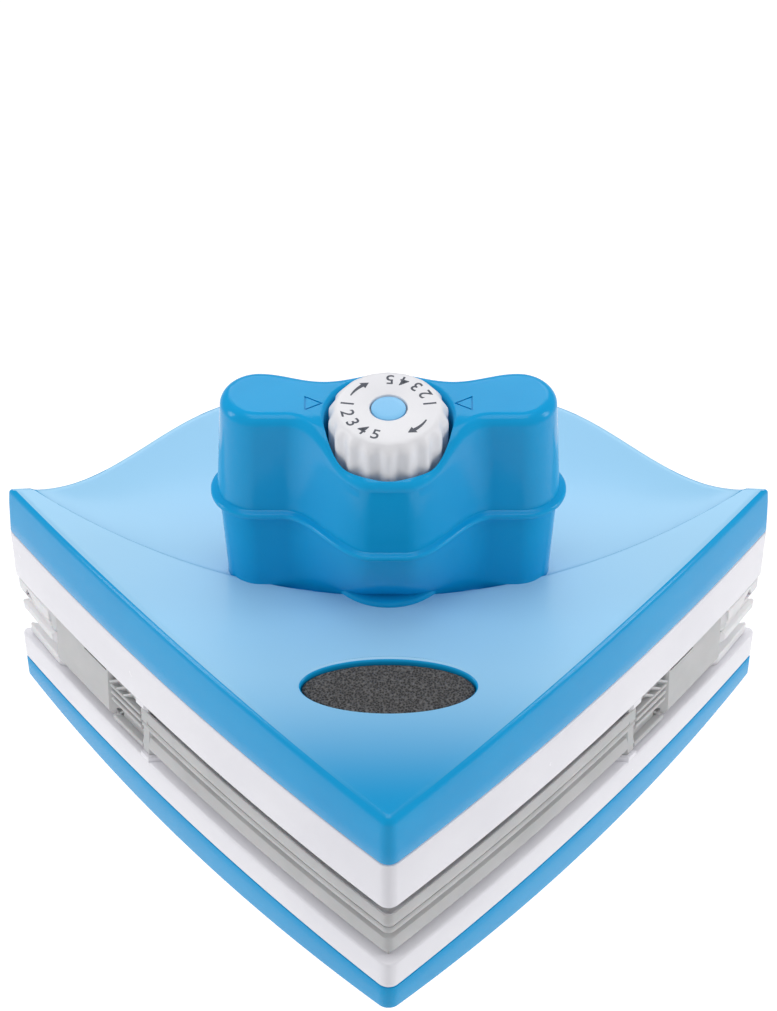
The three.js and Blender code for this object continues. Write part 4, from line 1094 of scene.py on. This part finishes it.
def make_sponge():
    """The foam plug: its visible end is roughened by pores, its edge is worn round."""
    sides, rows, roll = 220, 34, 0.7
    shoulder = SPONGE_TOP_Z - 0.8
    angles = np.linspace(0, 2 * math.pi, sides, endpoint=False)
    rings = []
    for z in (SPONGE_LOW_Z, shoulder):
        rings.append((SPONGE_RX - GAP, SPONGE_RY - GAP, z))
    for turn in np.linspace(0.2, math.pi / 2, 5):
        inset = GAP + roll * (1 - math.cos(turn))
        rings.append((SPONGE_RX - inset, SPONGE_RY - inset, shoulder + roll * math.sin(turn)))
    for share in np.linspace(0.96, 0.02, rows):
        rings.append(((SPONGE_RX - 1) * share, (SPONGE_RY - 1) * share, SPONGE_TOP_Z - 0.1))
    points = []
    for rx, ry, z in rings:
        ellipse = np.stack([SPONGE_X + rx * np.cos(angles), SPONGE_Y + ry * np.sin(angles)], axis=1)
        ring = at_level(ellipse, z)
        if z > SPONGE_TOP_Z - 0.5:
            for point in ring:
                grain = noise.noise(Vector(point) * 1.3) + 0.6 * noise.noise(Vector(point) * 3.1)
                point[2] += 0.09 * grain - 0.05
        points.append(ring)
    sponge = rings_to_mesh("inlet_sponge", points, 80)
    place(sponge, "outer_unit", FOAM_PAINTED_PORE_SHADE, "dark_sponge", "water_sponge")


# ---------------------------------------------------------------- carried-over CAD nodes
def finish_frame_nodes():
    """Fine bevels and materials for the mechanism, fasteners and magnets."""
    slots = {row["node"]: row["material_slot"] for row in frame["record"]["subparts"]}
    for name, obj in frame["nodes"].items():
        obj.data.materials.clear()
        obj.data.materials.append(SLOT_MATERIALS[slots[name]])
        if slots[name] in ("fastener_steel", "yoke_steel", "magnet_nickel", "carrier_plastic"):
            bevel = obj.modifiers.new("edge", "BEVEL")
            bevel.width, bevel.segments, bevel.limit_method = 0.12 * MM, 2, "ANGLE"
            bevel.angle_limit = math.radians(40)


# ---------------------------------------------------------------- studio
def area_light(name, place_m, target, size, power):
    light = bpy.data.lights.new(name, "AREA")
    light.shape, light.size, light.size_y = "RECTANGLE", size[0], size[1]
    light.energy = power
    obj = bpy.data.objects.new(name, light)
    obj.location = place_m
    obj.rotation_euler = (Vector(target) - Vector(place_m)).to_track_quat("-Z", "Y").to_euler()
    bpy.context.scene.collection.objects.link(obj)


FLOOR_Z = -0.25


def make_studio():
    """A white sweep well below the object, a pale surround and four soft boxes."""
    floor = bpy.data.meshes.new("floor")
    floor.from_pydata([(x, y, FLOOR_Z) for x, y in ((-6, -6), (6, -6), (6, 6), (-6, 6))], [], [(0, 1, 2, 3)])
    ground = bpy.data.objects.new("floor", floor)
    bpy.context.scene.collection.objects.link(ground)
    n = Nodes("pale floor")
    floor.materials.append(n.finish(Base_Color=linear(250, 250, 251), Roughness=0.9, Specular_IOR_Level=0.1,
                                    Emission_Color=(1, 1, 1, 1), Emission_Strength=0.25))
    world = bpy.data.worlds.new("studio")
    bpy.context.scene.world = world
    world.use_nodes = True
    background = world.node_tree.nodes["Background"]
    background.inputs["Color"].default_value = (1, 1, 1, 1)
    background.inputs["Strength"].default_value = 0.4
    middle = (0, 0, 0.07)
    area_light("rear box", (0, 1.05, 0.86), middle, (1.1, 0.42), 4)
    area_light("top box", (0, -0.1, 1.3), middle, (0.8, 0.8), 5)
    area_light("left box", (-1.0, -0.08, 0.46), middle, (0.25, 0.6), 3.4)
    area_light("right box", (1.0, -0.08, 0.46), middle, (0.25, 0.6), 3.4)


def make_camera():
    """The photograph's view: centred on the object, looking down at 44 degrees."""
    camera = bpy.data.cameras.new("camera")
    camera.lens, camera.sensor_width = 99.96, 36
    obj = bpy.data.objects.new("camera", camera)
    obj.location = (0, -0.4272, 0.5166)
    obj.rotation_euler = (math.radians(46), 0, 0)
    bpy.context.scene.collection.objects.link(obj)
    bpy.context.scene.camera = obj


# ---------------------------------------------------------------- build
make_camera()
make_studio()
make_outer_cover()
make_inner_cover()
make_base("outer", HIGH_FACE_Z, HIGH_FLANGE_Z, HIGH_SEAM_Z - GAP / 2, 1)
make_base("inner", LOW_FACE_Z, LOW_FLANGE_Z, LOW_SEAM_Z + GAP / 2, -1)
make_handle_cap()
make_handle_base()
make_inner_grip()
make_knob()
make_badge()
make_digits()
make_arrows()
make_blades()
make_side_strips(-1, "left")
make_side_strips(1, "right")
make_pad("outer")
make_pad("inner")
make_sponge()
finish_frame_nodes()
bpy.context.scene.view_settings.view_transform = "Standard"
